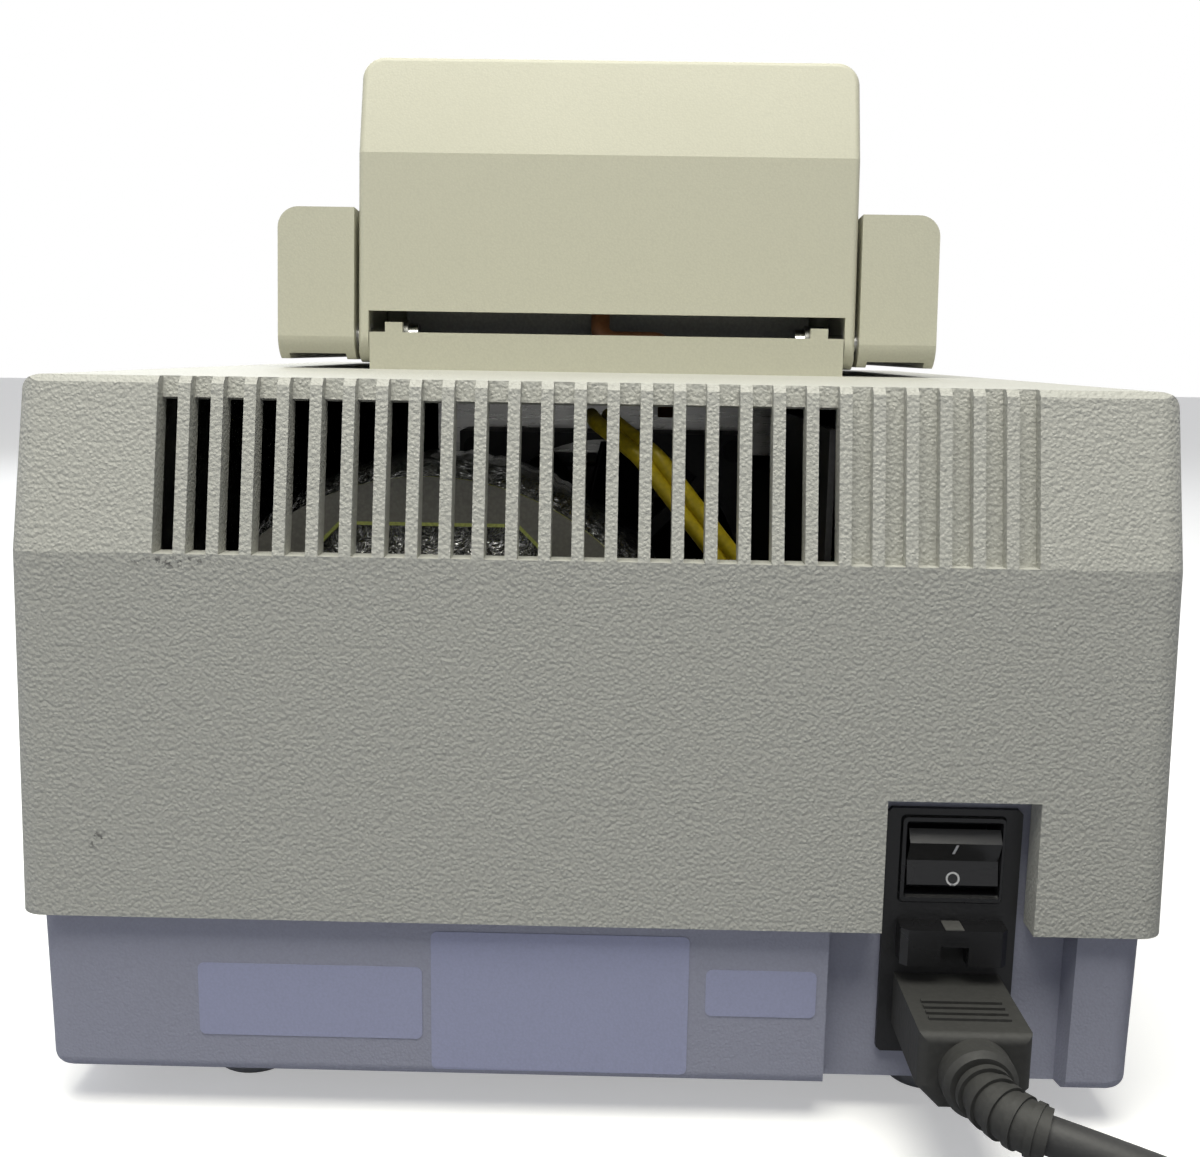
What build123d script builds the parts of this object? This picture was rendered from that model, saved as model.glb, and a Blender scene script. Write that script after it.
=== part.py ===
from build123d import *
from math import atan2, cos, degrees, pi, radians, sin, tan
import os

os.makedirs("parts", exist_ok=True)

# A bench thermal cycler, in mm. Z is up, +Y is the rear with the mains inlet, and the
# origin is on the bench under the middle of the housing.

# Outer sizes
housing_width = 262.6
housing_depth = 415.0
foot_height = 10.0
base_height = 40.2
rear_face_height = 84.1
band_height = 38.5
lid_height = 97.2

# Housing and base
wall = 3.0
side_draft = 0.9
base_draft = 0.8
band_lean = 12.7
edge_radius = 6.0
deck_edge_chamfer = 1.2
deck_front_y = -112.0
nose_height = 112.0
deck_bend_radius = 20.0
nose_radius = 12.0
base_inset = 3.3
base_tongue = 5.0
base_edge_radius = 3.0
post_radius = 6.0
post_height = 46.0
post_inset = 14.0
lug_size = 15.0
lug_height = 12.0
screw_radius = 1.9
screw_head_radius = 4.0
foot_radius = 10.3
foot_pitch_x = 170.0
foot_pitch_y = 356.0
intake_slots = 9
intake_slot_size = (4.0, 60.0)
intake_pitch = 9.0
chassis_thickness = 2.0
chassis_side_gap = 27.3
chassis_rear_gap = 15.5
chassis_depth = 264.0

# Rear grille
slot_count = 27
open_slots = 21
slot_pitch = 7.3
slot_width = 4.6
grille_pad = 6.0
flute_depth = 3.5
slot_ledge = 4.0

# Inlet corner of the base and housing
inlet_from_side = 47.4
inlet_width = 31.0
inlet_height = 60.1
inlet_bottom = 17.2
inlet_panel_depth = 9.5
inlet_panel_top = 84.0
recess_width = 54.8
recess_chamfer = 1.2
cutout_width = 34.4
cutout_top = 81.4
flange_thickness = 1.5
flange_lip = 1.2
inlet_body_depth = 28.0
fit_gap = 0.3
slide_gap = 0.2

# Mains rocker and fuse drawer
rocker_size = (21.0, 15.6)
rocker_z = 65.2
rocker_tilt = 9.0
rocker_pivot_depth = 3.5
rocker_axle_radius = 1.2
drawer_size = (24.4, 8.7)
drawer_bottom = 41.7
drawer_depth = 26.0
drawer_grip = 6.5
fuse_radius = 2.6
fuse_length = 20.0

# Mains connector and lead
connector_size = (24.4, 17.6)
connector_z = 28.2
connector_length = 29.0
nose_size = (20.6, 13.6)
nose_length = 14.0
collar_length = 6.0
collar_radius = 8.0
relief_radius = 6.2
relief_bend_radius = 16.0
relief_turn = 66.0
relief_dip = 8.0
cord_radius = 4.0
coil_from_inlet = 132.1
coil_from_rear = 11.0
coil_radii = (40.0, 48.0, 56.0)
plug_size = (26.0, 24.0, 36.0)
plug_from_coil = 44.5

# Lid and hinge
hinge_height = 10.0
hinge_inset = 8.0
lid_rear_y = 66.0
lid_depth = 148.0
lid_width = 156.6
lid_wall = 3.0
lid_hover = 2.0
lid_crease_height = 66.9
lid_lean_low = 5.0
lid_lean_high = 18.0
lid_top_length = 62.0
lid_front_height = 58.0
lid_front_lean = 10.0
lid_edge_radius = 7.0
lid_skirt_height = 18.2
pin_radius = 3.0
pin_fit = 0.05
bush_wall = 1.5
hinge_panel_width = 149.4
hinge_panel_height = 11.6
hinge_panel_thickness = 2.5
hinge_tab_width = 5.4
hinge_tab_height = 3.1
bracket_width = 6.0
bracket_x = 63.0

# Bow handle
handle_gap = 1.3
handle_width = 24.1
handle_height = 50.0
handle_front_height = 38.0
handle_front_y = -107.0
handle_grip_depth = 23.0
handle_grip_bottom = 14.0
handle_bottom = 2.85
handle_rear_edge = 4.65
handle_corner_radius = 14.0
handle_edge_radius = 6.5

# Sample block and cooling
block_y = -10.0
well_columns = 12
well_rows = 8
well_pitch = 9.0
well_top_radius = 2.8
well_bottom_radius = 1.5
well_depth = 15.0
block_margin = 5.5
block_height = 32.0
block_above_deck = 4.0
frame_gap = 0.8
frame_wall = 4.0
frame_flange = 5.0
frame_flange_height = 1.5
peltier_height = 4.0
peltier_size = (48.0, 32.0)
sink_size = (128.0, 100.0, 66.0)
sink_base = 10.0
fin_count = 17
fin_thickness = 2.0
fan_size = 92.0
fan_depth = 25.0
fan_bore_radius = 44.0
fan_hub_radius = 18.0
fan_tip_gap = 1.0
fan_blades = 7
fan_blade_pitch = 38.0
fan_shaft_radius = 1.5
duct_thickness = 2.0

# Heated lid plate
plate_side_gap = 15.3
plate_size = (lid_width - 2 * plate_side_gap, 90.0, 8.0)
plate_above_block = 9.0
plate_travel = 3.0
mat_thickness = 1.0
felt_thickness = 5.0
tray_wall = 2.5
tray_gap = 1.5
tray_flange_height = 6.0
guide_pin_radius = 2.0
guide_head_radius = 4.5
spring_bore_radius = 2.5
spring_radius = 5.5

# Transformer
toroid_centre = (39.5, 88.0)
toroid_radius = 66.0
toroid_bore = 24.0
toroid_width = 52.0
toroid_from_rear = 26.5
toroid_rounding = 14.0
disc_radius = 62.0
disc_thickness = 1.6
window_across = 101.0
washer_radius = 42.0
bolt_radius = 4.0

# Power electronics and controls
shield_from_side = 78.8
shield_size = (1.5, 96.0, 148.0)
shield_from_rear = 16.5
board_thickness = 1.6
board_gap = 6.0
power_board_size = (92.0, 96.0)
power_board_bottom = 40.0
control_board_size = (196.0, 78.0)
control_board_depth = 16.0
panel_size = (222.0, 84.0)
panel_recess = 0.8
window_size = (84.0, 34.0)
window_centre = (-56.0, 10.0)
keypad_size = (112.0, 72.0)
keypad_centre = (50.0, 0.0)
earth_wire_radius = 1.9

# Heights and planes worked out from the sizes
split_z = foot_height + base_height
crease_z = split_z + rear_face_height
deck_z = crease_z + band_height
half_width = housing_width / 2
half_depth = housing_depth / 2
inlet_x = inlet_from_side - half_width
inlet_panel_y = half_depth - inlet_panel_depth
toroid_rear_y = half_depth - toroid_from_rear
shield_x = shield_from_side - half_width
shield_rear_y = half_depth - shield_from_rear
coil_centre = (inlet_x - coil_from_inlet, half_depth - coil_from_rear)
plug_y = coil_centre[1] - plug_from_coil
crease_y = half_depth - rear_face_height * tan(radians(side_draft))
deck_rear_y = crease_y - band_height * tan(radians(band_lean))
nose_y = -half_depth + (nose_height - split_z) * tan(radians(side_draft))
floor_z = foot_height + wall
hinge_y = lid_rear_y - hinge_inset
hinge_z = deck_z + hinge_height
block_top = deck_z + block_above_deck
block_bottom = block_top - block_height
plate_bottom = block_top + plate_above_block
slope_angle = degrees(atan2(deck_z - nose_height, deck_front_y - nose_y))
post_x = half_width - wall - post_inset
post_y = half_depth - wall - post_inset


def cuboid(x0, x1, y0, y1, z0, z1):
    """A box between two corners."""
    size = Box(x1 - x0, y1 - y0, z1 - z0)
    return Pos((x0 + x1) / 2, (y0 + y1) / 2, (z0 + z1) / 2) * size


def rod_x(radius, x0, x1, y, z):
    """A round rod along X."""
    return Pos((x0 + x1) / 2, y, z) * Rot(0, 90, 0) * Cylinder(radius, x1 - x0)


def rod_y(radius, x, y0, y1, z):
    """A round rod along Y."""
    return Pos(x, (y0 + y1) / 2, z) * Rot(90, 0, 0) * Cylinder(radius, y1 - y0)


def rod_z(radius, x, y, z0, z1):
    """An upright round rod."""
    return Pos(x, y, (z0 + z1) / 2) * Cylinder(radius, z1 - z0)


def outline(points, rounding=()):
    """A closed flat outline, with some of its corners rounded."""
    face = Polyline(*points, close=True)
    face = make_face(face)
    for corner, radius in rounding:
        vertex = face.vertices().sort_by_distance((corner[0], corner[1], 0))[0]
        face = fillet(vertex, radius)
    return face


def across(face, x0, x1):
    """A side-view outline, in Y and Z, run along X."""
    return extrude(Plane.YZ.offset(x0) * face, amount=x1 - x0)


def along(face, y0, y1):
    """A rear-view outline, in X and Z, run along Y."""
    return extrude(Plane.XZ.offset(-y1) * face, amount=y1 - y0)


def group(solids):
    """Separate solids kept in one node."""
    return Compound(children=list(solids))


def mirrored(maker):
    """The same piece made for the +X and the -X side."""
    return [maker(1), maker(-1)]


def corners(half_x, half_y, centre_y=0.0):
    """The four corners of a rectangle round X = 0."""
    return [(sx * half_x, centre_y + sy * half_y) for sx in (1, -1) for sy in (1, -1)]


def save(name, shape):
    """Write one node."""
    export_step(shape, f"parts/{name}.step")


# Upper housing: one moulded shell with a drafted skirt, a leaning rear band, a flat deck
# and a sloped front for the controls


def housing_form(inset):
    """The housing's outer form, or the same form moved inwards for its hollow."""
    reach = 12.0
    lean = tan(radians(side_draft))
    low = split_z - reach
    points = [
        (half_depth + reach * lean, low),
        (crease_y, crease_z),
        (deck_rear_y, deck_z),
        (deck_front_y, deck_z),
        (nose_y, nose_height),
        (-half_depth - reach * lean, low),
    ]
    rounding = [(points[3], deck_bend_radius), (points[4], nose_radius)]
    side = outline(points, rounding)
    if inset:
        side = offset(side, amount=-inset, kind=Kind.INTERSECTION)
    bottom = half_width + reach * lean - inset
    top = half_width - (deck_z - split_z) * lean - inset
    front = outline([(-bottom, low), (bottom, low), (top, deck_z), (-top, deck_z)])
    form = across(side, -half_width * 2, half_width * 2)
    return form & along(front, -housing_depth, housing_depth)


def band_point(out, up):
    """A point in Y and Z, given outwards from the rear band and up along it."""
    lean = radians(band_lean)
    return (crease_y + out * cos(lean) - up * sin(lean), crease_z + out * sin(lean) + up * cos(lean))


def grille_cuts():
    """Every slot of the grille: a flute through the deck edge, and most of them cut through."""
    band_length = band_height / cos(radians(band_lean))
    over = band_length + 4.0
    flute = outline(
        [
            (band_point(6, 0)[0], crease_z),
            (band_point(-flute_depth, 0)[0], crease_z),
            band_point(-flute_depth, over),
            band_point(6, over),
        ]
    )
    through = outline(
        [
            (band_point(6, 0)[0], crease_z),
            (band_point(-grille_pad * 2, 0)[0], crease_z),
            band_point(-grille_pad * 2, band_length - slot_ledge),
            band_point(6, band_length - slot_ledge),
        ]
    )
    cuts = []
    for index in range(slot_count):
        x = ((slot_count - 1) / 2 - index) * slot_pitch
        cuts.append(across(flute, x - slot_width / 2, x + slot_width / 2))
        if index < open_slots:
            cuts.append(across(through, x - slot_width / 2, x + slot_width / 2))
    return cuts


def slope_plane(depth):
    """A plane parallel to the sloped front, a depth under it, with X and up-slope as its axes."""
    middle_y = (deck_front_y + nose_y) / 2
    middle_z = (deck_z + nose_height) / 2
    tilt = radians(slope_angle)
    normal = (0, -sin(tilt), cos(tilt))
    origin = (0, middle_y - normal[1] * depth, middle_z - normal[2] * depth)
    return Plane(origin=origin, x_dir=(1, 0, 0), z_dir=normal)


def on_slope(depth, centre, shape):
    """A shape set on the sloped front."""
    return slope_plane(depth).location * Pos(centre[0], centre[1], 0) * shape


def deck_hole_size():
    """The opening in the deck round the block frame."""
    block_x, block_depth = block_size()
    return (
        block_x + 2 * (frame_gap + frame_wall + fit_gap),
        block_depth + 2 * (frame_gap + frame_wall + fit_gap),
    )


def block_size():
    """The sample block's width and depth, from its wells."""
    return (
        (well_columns - 1) * well_pitch + 2 * (well_top_radius + block_margin),
        (well_rows - 1) * well_pitch + 2 * (well_top_radius + block_margin),
    )


def upper_housing():
    skin = housing_form(0) & cuboid(-400, 400, -400, 400, split_z, deck_z)
    side_edges = [e for e in skin.edges() if abs(e.center().X) > half_width - 2 * edge_radius]
    side_edges = [e for e in side_edges if e.center().Z > split_z + 1]
    skin = fillet(side_edges, edge_radius)
    hollow = housing_form(wall)
    pad_half = slot_count * slot_pitch / 2 + wall
    pad = outline([band_point(0, -8), band_point(-grille_pad, -8), band_point(-grille_pad, 60), band_point(0, 60)])
    hollow -= across(pad, -pad_half, pad_half)
    slope_pad = on_slope(0, (0, 0), Box(panel_size[0] + 8, panel_size[1] + 8, 2 * (wall + 1)))
    hollow -= slope_pad
    body = skin - hollow
    for x, y in corners(post_x, post_y):
        sx = 1 if x > 0 else -1
        outer = half_width - wall / 2
        lug = cuboid(min(x - sx * lug_size / 2, sx * outer), max(x - sx * lug_size / 2, sx * outer),
                     y - lug_size / 2, y + lug_size / 2, floor_z + post_height, floor_z + post_height + lug_height)
        body += lug - rod_z(screw_radius, x, y, floor_z + post_height - 1, floor_z + post_height + lug_height - 3)
    collar_x = cutout_width / 2 + 2.0
    inside = inlet_panel_y + 1.4
    collar = cuboid(inlet_x - collar_x, inlet_x + collar_x, inside, half_depth - wall / 2, split_z, cutout_top + 2.0)
    body += collar & housing_form(0)
    body -= cuboid(inlet_x - cutout_width / 2, inlet_x + cutout_width / 2, inlet_panel_y - 8, half_depth + 12,
                   split_z - 1, cutout_top)
    body -= grille_cuts()
    chamfer_cut = outline(
        [(deck_rear_y - deck_edge_chamfer, deck_z + 0.01), (deck_rear_y + 5, deck_z + 0.01),
         (deck_rear_y + 5, deck_z - deck_edge_chamfer - 5 * 1.0)]
    )
    body -= across(chamfer_cut, -half_width, half_width)
    hole_x, hole_y = deck_hole_size()
    body -= Pos(0, block_y, deck_z) * Box(hole_x, hole_y, 6 * wall)
    body -= Pos(0, handle_front_y + handle_grip_depth / 2, deck_z) * Box(latch_slot()[0], latch_slot()[1], 6 * wall)
    body -= Pos(lid_cable_x(), hinge_y, deck_z) * Cylinder(lid_cable_radius() + fit_gap, 6 * wall)
    body -= on_slope(0, (0, 0), Box(panel_size[0], panel_size[1], 2 * panel_recess))
    body -= on_slope(0, window_centre, Box(window_size[0] - 6, window_size[1] - 6, 30))
    body -= on_slope(0, keypad_centre, Pos(0, -keypad_size[1] / 2 + 4, 0) * Box(24, 3, 30))
    return body


def lid_cable_x():
    return -20.0


def lid_cable_radius():
    return 3.0


def latch_slot():
    """The opening in the deck for the latch blade, and the catch under it."""
    return (30.0, 12.0)


def base_tray():
    half_x = half_width - base_inset
    half_y = half_depth - base_inset
    plan = Pos(0, 0, split_z) * RectangleRounded(2 * half_x, 2 * half_y, edge_radius)
    skin = extrude(plan, amount=base_height, dir=(0, 0, -1), taper=base_draft)
    skin = fillet(skin.edges().group_by(Axis.Z)[0], base_edge_radius)
    inner_plan = Pos(0, 0, split_z) * RectangleRounded(2 * (half_x - wall), 2 * (half_y - wall), edge_radius - wall + 1)
    hollow = extrude(inner_plan, amount=base_height - wall, dir=(0, 0, -1), taper=base_draft)
    tongue = extrude(plan, amount=base_tongue) - extrude(inner_plan, amount=base_tongue)
    body = skin - hollow + tongue
    side = recess_width / 2
    face = half_y
    step = face - inlet_panel_y
    pad = cuboid(inlet_x - side - 4, inlet_x + side + 4, inlet_panel_y - wall, face - 1.5, foot_height + 1, split_z)
    body += pad & (skin + tongue)
    panel_half = cutout_width / 2 + 4
    body += cuboid(inlet_x - panel_half, inlet_x + panel_half, inlet_panel_y - wall, inlet_panel_y,
                   foot_height + wall, inlet_panel_top)
    recess = outline(
        [
            (inlet_x - side, inlet_panel_y),
            (inlet_x + side, inlet_panel_y),
            (inlet_x + side + recess_chamfer, inlet_panel_y + step + 1),
            (inlet_x - side - recess_chamfer, inlet_panel_y + step + 1),
        ]
    )
    body -= extrude(Pos(0, 0, foot_height - 1) * recess, amount=inlet_panel_top)
    hole_x = inlet_width / 2 - flange_lip
    body -= cuboid(inlet_x - hole_x, inlet_x + hole_x, inlet_panel_y - 18, half_depth + 3, inlet_bottom + flange_lip,
                   inlet_bottom + inlet_height - flange_lip)
    for x, y in corners(post_x, post_y):
        post = rod_z(post_radius, x, y, foot_height + 1, floor_z + post_height)
        body += post
        body -= rod_z(screw_radius + fit_gap, x, y, foot_height - 1, floor_z + post_height + 1)
        body -= rod_z(screw_head_radius + fit_gap, x, y, foot_height - 1, floor_z + 3)
    for x, y in corners(foot_pitch_x / 2, foot_pitch_y / 2):
        body -= rod_z(screw_radius + fit_gap, x, y, foot_height - 1, floor_z + 1)
    for index in range(intake_slots):
        x = (index - (intake_slots - 1) / 2) * intake_pitch
        body -= Pos(x, -120, foot_height) * Box(intake_slot_size[0], intake_slot_size[1], 4 * wall)
    return body


def foot(x, y):
    body = rod_z(foot_radius, x, y, 0, foot_height)
    body = fillet(body.edges().sort_by(Axis.Z)[0], 2.5)
    body -= rod_z(screw_radius + fit_gap, x, y, -1, foot_height + 1)
    return body - rod_z(screw_head_radius + fit_gap, x, y, -1, foot_height - 2.5)


def screw(x, y, head_bottom, tip):
    """A pan-head screw put in from below."""
    head = rod_z(screw_head_radius, x, y, head_bottom, head_bottom + 2.5)
    return head + rod_z(screw_radius, x, y, head_bottom + 2.0, tip)


def chassis_plate():
    side = half_width - chassis_side_gap
    plate = cuboid(-side, side, half_depth - chassis_rear_gap - chassis_depth, half_depth - chassis_rear_gap,
                   floor_z, floor_z + chassis_thickness)
    for x, y in corners(foot_pitch_x / 2, foot_pitch_y / 2):
        plate -= rod_z(screw_radius + fit_gap, x, y, floor_z - 1, floor_z + chassis_thickness + 1)
    return plate


# Hinge: a fixed panel and two brackets on the deck, and a pin on each side that carries
# both the lid and the handle


def hinge_rear_panel():
    half = hinge_panel_width / 2
    top = deck_z + hinge_panel_height
    panel = cuboid(-half, half, lid_rear_y - hinge_panel_thickness, lid_rear_y, deck_z, top)
    for sx in (1, -1):
        x = sx * (half - 7.7)
        panel += cuboid(x - hinge_tab_width / 2, x + hinge_tab_width / 2,
                        lid_rear_y - hinge_panel_thickness, lid_rear_y, top - 1, top + hinge_tab_height)
    return panel


def hinge_bracket(side):
    x0 = side * bracket_x
    x1 = side * (bracket_x + bracket_width)
    lug = cuboid(min(x0, x1), max(x0, x1), hinge_y - 6, lid_rear_y - hinge_panel_thickness, deck_z, hinge_z)
    lug += rod_x(pin_radius + 2.5, min(x0, x1), max(x0, x1), hinge_y, hinge_z)
    return lug - rod_x(pin_radius + pin_fit, min(x0, x1) - 1, max(x0, x1) + 1, hinge_y, hinge_z)


def lid_half():
    return lid_width / 2


def handle_inner_x():
    return lid_half() + handle_gap


def hinge_pin(side):
    """A shouldered pin with a head inside the bracket and a clip groove outside."""
    end = handle_inner_x() + lid_wall + 2.0
    head = bracket_x - 2.0
    x_low, x_high = sorted((side * head, side * end))
    pin = rod_x(pin_radius, x_low, x_high, hinge_y, hinge_z)
    h_low, h_high = sorted((side * (head - 1.0), side * bracket_x))
    pin += rod_x(pin_radius + 1.5, h_low, h_high, hinge_y, hinge_z)
    c_low, c_high = sorted((side * (end - 1.5), side * (end - 0.5)))
    return pin + rod_x(pin_radius + 1.0, c_low, c_high, hinge_y, hinge_z)


def bush(side, x_inner, x_outer):
    """A plain bush pressed into a wall, running on the pin."""
    low, high = sorted((side * x_inner, side * x_outer))
    body = rod_x(pin_radius + bush_wall, low, high, hinge_y, hinge_z)
    return body - rod_x(pin_radius + pin_fit, low - 1, high + 1, hinge_y, hinge_z)


# Lid: a drafted cover, a tray that closes it from below, and the floating heated plate


def lid_line_y(height):
    """The rear face of the lid at a height over the deck."""
    low = min(height, lid_crease_height)
    y = lid_rear_y - max(low - hinge_height, 0) * tan(radians(lid_lean_low))
    return y - max(height - lid_crease_height, 0) * tan(radians(lid_lean_high))


def lid_points():
    front_y = lid_rear_y - lid_depth
    top_front = lid_line_y(lid_height) - lid_top_length
    shoulder = front_y + (lid_front_height - lid_hover) * tan(radians(lid_front_lean))
    return [
        (lid_rear_y, deck_z + lid_hover),
        (lid_rear_y, deck_z + hinge_height),
        (lid_line_y(lid_crease_height), deck_z + lid_crease_height),
        (lid_line_y(lid_height), deck_z + lid_height),
        (top_front, deck_z + lid_height),
        (shoulder, deck_z + lid_front_height),
        (front_y, deck_z + lid_hover),
    ]


def lid_form(inset):
    points = lid_points()
    if inset:
        points[0] = (points[0][0], points[0][1] - 3 * inset)
        points[-1] = (points[-1][0], points[-1][1] - 3 * inset)
    side = outline(points, [(points[4], 40.0), (points[5], 26.0)])
    if inset:
        side = offset(side, amount=-inset, kind=Kind.INTERSECTION)
    half = lid_half() - inset
    return across(side, -half, half)


def lid_cover():
    skin = lid_form(0)
    top = [e for e in skin.edges() if abs(e.center().X) > lid_half() - 1]
    front = [e for e in top if e.center().Y < lid_line_y(lid_height) - 1 and e.center().Z > deck_z + lid_hover + 1]
    skin = fillet(front, lid_edge_radius)
    rear = [e for e in skin.edges() if e.center().Y > lid_line_y(lid_height) - 0.5 and e.center().Z > deck_z + hinge_height]
    rear = [e for e in rear if e.center().Y < lid_rear_y - 0.2 and abs(e.length) > 5]
    rear = [e for e in rear if abs(e.center().X) > 1 or e.center().Z > deck_z + lid_height - 1]
    skin = fillet(rear, 1.8)
    body = skin - lid_form(lid_wall)
    gap = hinge_panel_width / 2 + fit_gap
    body -= cuboid(-gap, gap, hinge_y - 8.0, lid_rear_y + 5, deck_z, deck_z + lid_skirt_height)
    for sx in (1, -1):
        low, high = sorted((sx * (gap - 1), sx * (lid_half() + 1)))
        corner = cuboid(low, high, hinge_y, lid_rear_y + 1, deck_z, hinge_z)
        body -= corner - rod_x(hinge_inset, low, high, hinge_y, hinge_z)
        body -= rod_x(pin_radius + bush_wall, low - 2, high + 2, hinge_y, hinge_z)
    for x, y in lid_boss_points():
        boss = rod_z(4.0, x, y, deck_z + tray_flange_height + tray_wall, deck_z + lid_height)
        body += (boss & lid_form(lid_wall)) - rod_z(1.6, x, y, deck_z, deck_z + 30)
    return body


def lid_boss_points():
    """Where the tray is screwed to the cover."""
    return corners(lid_half() - lid_wall - 3.8, 38.0, block_y)


def plate_pocket():
    """The half sizes of the pocket that the heated plate floats in."""
    return (plate_size[0] / 2 + tray_gap, plate_size[1] / 2 + tray_gap)


def lid_inner_shell():
    """The tray under the lid: a flange, and a pocket that rises round the heated plate."""
    half_x, half_y = plate_pocket()
    flange_bottom = deck_z + tray_flange_height
    flange_top = flange_bottom + tray_wall
    pocket_top = plate_bottom + plate_size[2] + mat_thickness + felt_thickness + plate_travel + 2.0
    outer_x = lid_half() - lid_wall - fit_gap
    front_y = lid_rear_y - lid_depth + lid_wall + fit_gap + 2.4
    rear_y = hinge_y - 8.5
    body = cuboid(-outer_x, outer_x, front_y, rear_y, flange_bottom, flange_top)
    body += cuboid(-half_x - tray_wall, half_x + tray_wall, block_y - half_y - tray_wall, block_y + half_y + tray_wall,
                   flange_bottom, pocket_top + tray_wall)
    body -= cuboid(-half_x, half_x, block_y - half_y, block_y + half_y, flange_bottom - 1, pocket_top)
    for x, y in guide_points():
        body -= rod_z(guide_pin_radius + pin_fit, x, y, pocket_top - 1, pocket_top + tray_wall + 1)
    for x, y in lid_boss_points():
        body -= rod_z(1.9, x, y, flange_bottom - 1, flange_top + 1)
    body -= rod_z(lid_cable_radius() + 1.0, lid_cable_end()[0], lid_cable_end()[1], pocket_top - 1, pocket_top + 5)
    return body


def pocket_roof():
    """The underside of the pocket's roof."""
    return plate_bottom + plate_size[2] + mat_thickness + felt_thickness + plate_travel + 2.0


def guide_points():
    return corners(plate_size[0] / 2 - 14, plate_size[1] / 2 - 12, block_y)


def guide_pin(x, y):
    """A headed pin, pressed into the plate, whose head hangs on the pocket's roof."""
    roof = pocket_roof() + tray_wall
    plate_top = plate_bottom + plate_size[2]
    pin = rod_z(guide_pin_radius, x, y, plate_top - 5, roof)
    return pin + rod_z(guide_head_radius, x, y, roof, roof + 2.0)


def plate_stack(z0, z1, margin):
    """One sheet of the heated plate's stack, with clearance for guides and springs."""
    half_x = plate_size[0] / 2 - margin
    half_y = plate_size[1] / 2 - margin
    body = cuboid(-half_x, half_x, block_y - half_y, block_y + half_y, z0, z1)
    return body


def heated_plate():
    body = plate_stack(plate_bottom, plate_bottom + plate_size[2], 0)
    body = chamfer(body.edges().group_by(Axis.Z)[0], 1.0)
    for x, y in guide_points():
        body -= rod_z(guide_pin_radius, x, y, plate_bottom + 3, plate_bottom + plate_size[2] + 1)
    return body


def drilled(body):
    for x, y in guide_points():
        body -= rod_z(spring_radius + 0.5, x, y, plate_bottom, plate_bottom + 40)
    return body


def pressure_spring(x, y):
    """A stack of cupped spring washers between the plate and the pocket's roof."""
    z0 = plate_bottom + plate_size[2]
    z1 = pocket_roof()
    discs = 6
    step = (z1 - z0) / discs
    rim = 0.7
    inner = spring_bore_radius
    points = [(inner, z0)]
    for index in range(1, discs + 1):
        radius = spring_radius - rim if index % 2 else inner
        points.append((radius, z0 + index * step))
    back = [(radius + rim, height) for radius, height in reversed(points)]
    ring = make_face(Polyline(*(points + back), close=True))
    return Pos(x, y, 0) * revolve(Plane.XZ * ring, axis=Axis.Z)


def lid_cable_end():
    return (lid_cable_x() + 22.0, hinge_y - 26.0)


def lid_cable_lower():
    """The fixed length of the lid cable: up through the deck, then along the hinge axis."""
    x = lid_cable_x()
    path = FilletPolyline((x, hinge_y, deck_z - 14), (x, hinge_y, hinge_z), (x + 10, hinge_y, hinge_z), radius=5.0)
    section = Plane(origin=path @ 0, z_dir=path % 0) * Circle(lid_cable_radius())
    return sweep(section, path=path)


def lid_cable_upper():
    """The lid's length of the cable, from the hinge axis into the pocket's roof."""
    x, y = lid_cable_end()
    roof = pocket_roof()
    rise_y = hinge_y - 11
    path = FilletPolyline((lid_cable_x() + 10, hinge_y, hinge_z), (x, hinge_y, hinge_z), (x, rise_y, hinge_z + 15),
                          (x, rise_y, roof + 13), (x, y, roof + 13), (x, y, roof - 1.5), radius=5.0)
    section = Plane(origin=path @ 0, z_dir=path % 0) * Circle(lid_cable_radius())
    return sweep(section, path=path)


# Bow handle: two hollow arms beside the lid, joined by a grip in front of it


def handle_points():
    rear_y = lid_rear_y
    lean = tan(radians(lid_lean_low))
    top_y = rear_y - (handle_height - hinge_height) * lean
    grip_rear = handle_front_y + handle_grip_depth
    return [
        (rear_y, deck_z + handle_bottom),
        (rear_y, deck_z + hinge_height),
        (top_y, deck_z + handle_height),
        (grip_rear, deck_z + handle_front_height + 2),
        (handle_front_y, deck_z + handle_front_height - 4),
        (handle_front_y, deck_z + handle_grip_bottom),
        (grip_rear, deck_z + handle_grip_bottom),
        (grip_rear + 14, deck_z + handle_bottom),
    ]


def handle_form(inset):
    points = handle_points()
    side = outline(points, [(points[3], 60.0)])
    if inset:
        side = offset(side, amount=-inset, kind=Kind.INTERSECTION)
    outer = handle_inner_x() + handle_width
    inner = handle_inner_x()
    rear = lid_rear_y + 10
    grip_rear = handle_front_y + handle_grip_depth
    plan = outline(
        [(-outer + inset, rear), (-outer + inset, handle_front_y + inset),
         (outer - inset, handle_front_y + inset), (outer - inset, rear)],
        [((-outer + inset, handle_front_y + inset), handle_corner_radius - inset),
         ((outer - inset, handle_front_y + inset), handle_corner_radius - inset)],
    )
    form = extrude(Pos(0, 0, deck_z) * plan, amount=handle_height + 5) & across(side, -outer, outer)
    return form - cuboid(-inner - inset, inner + inset, grip_rear - inset, rear + 5, deck_z - 5, deck_z + 80)


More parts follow.
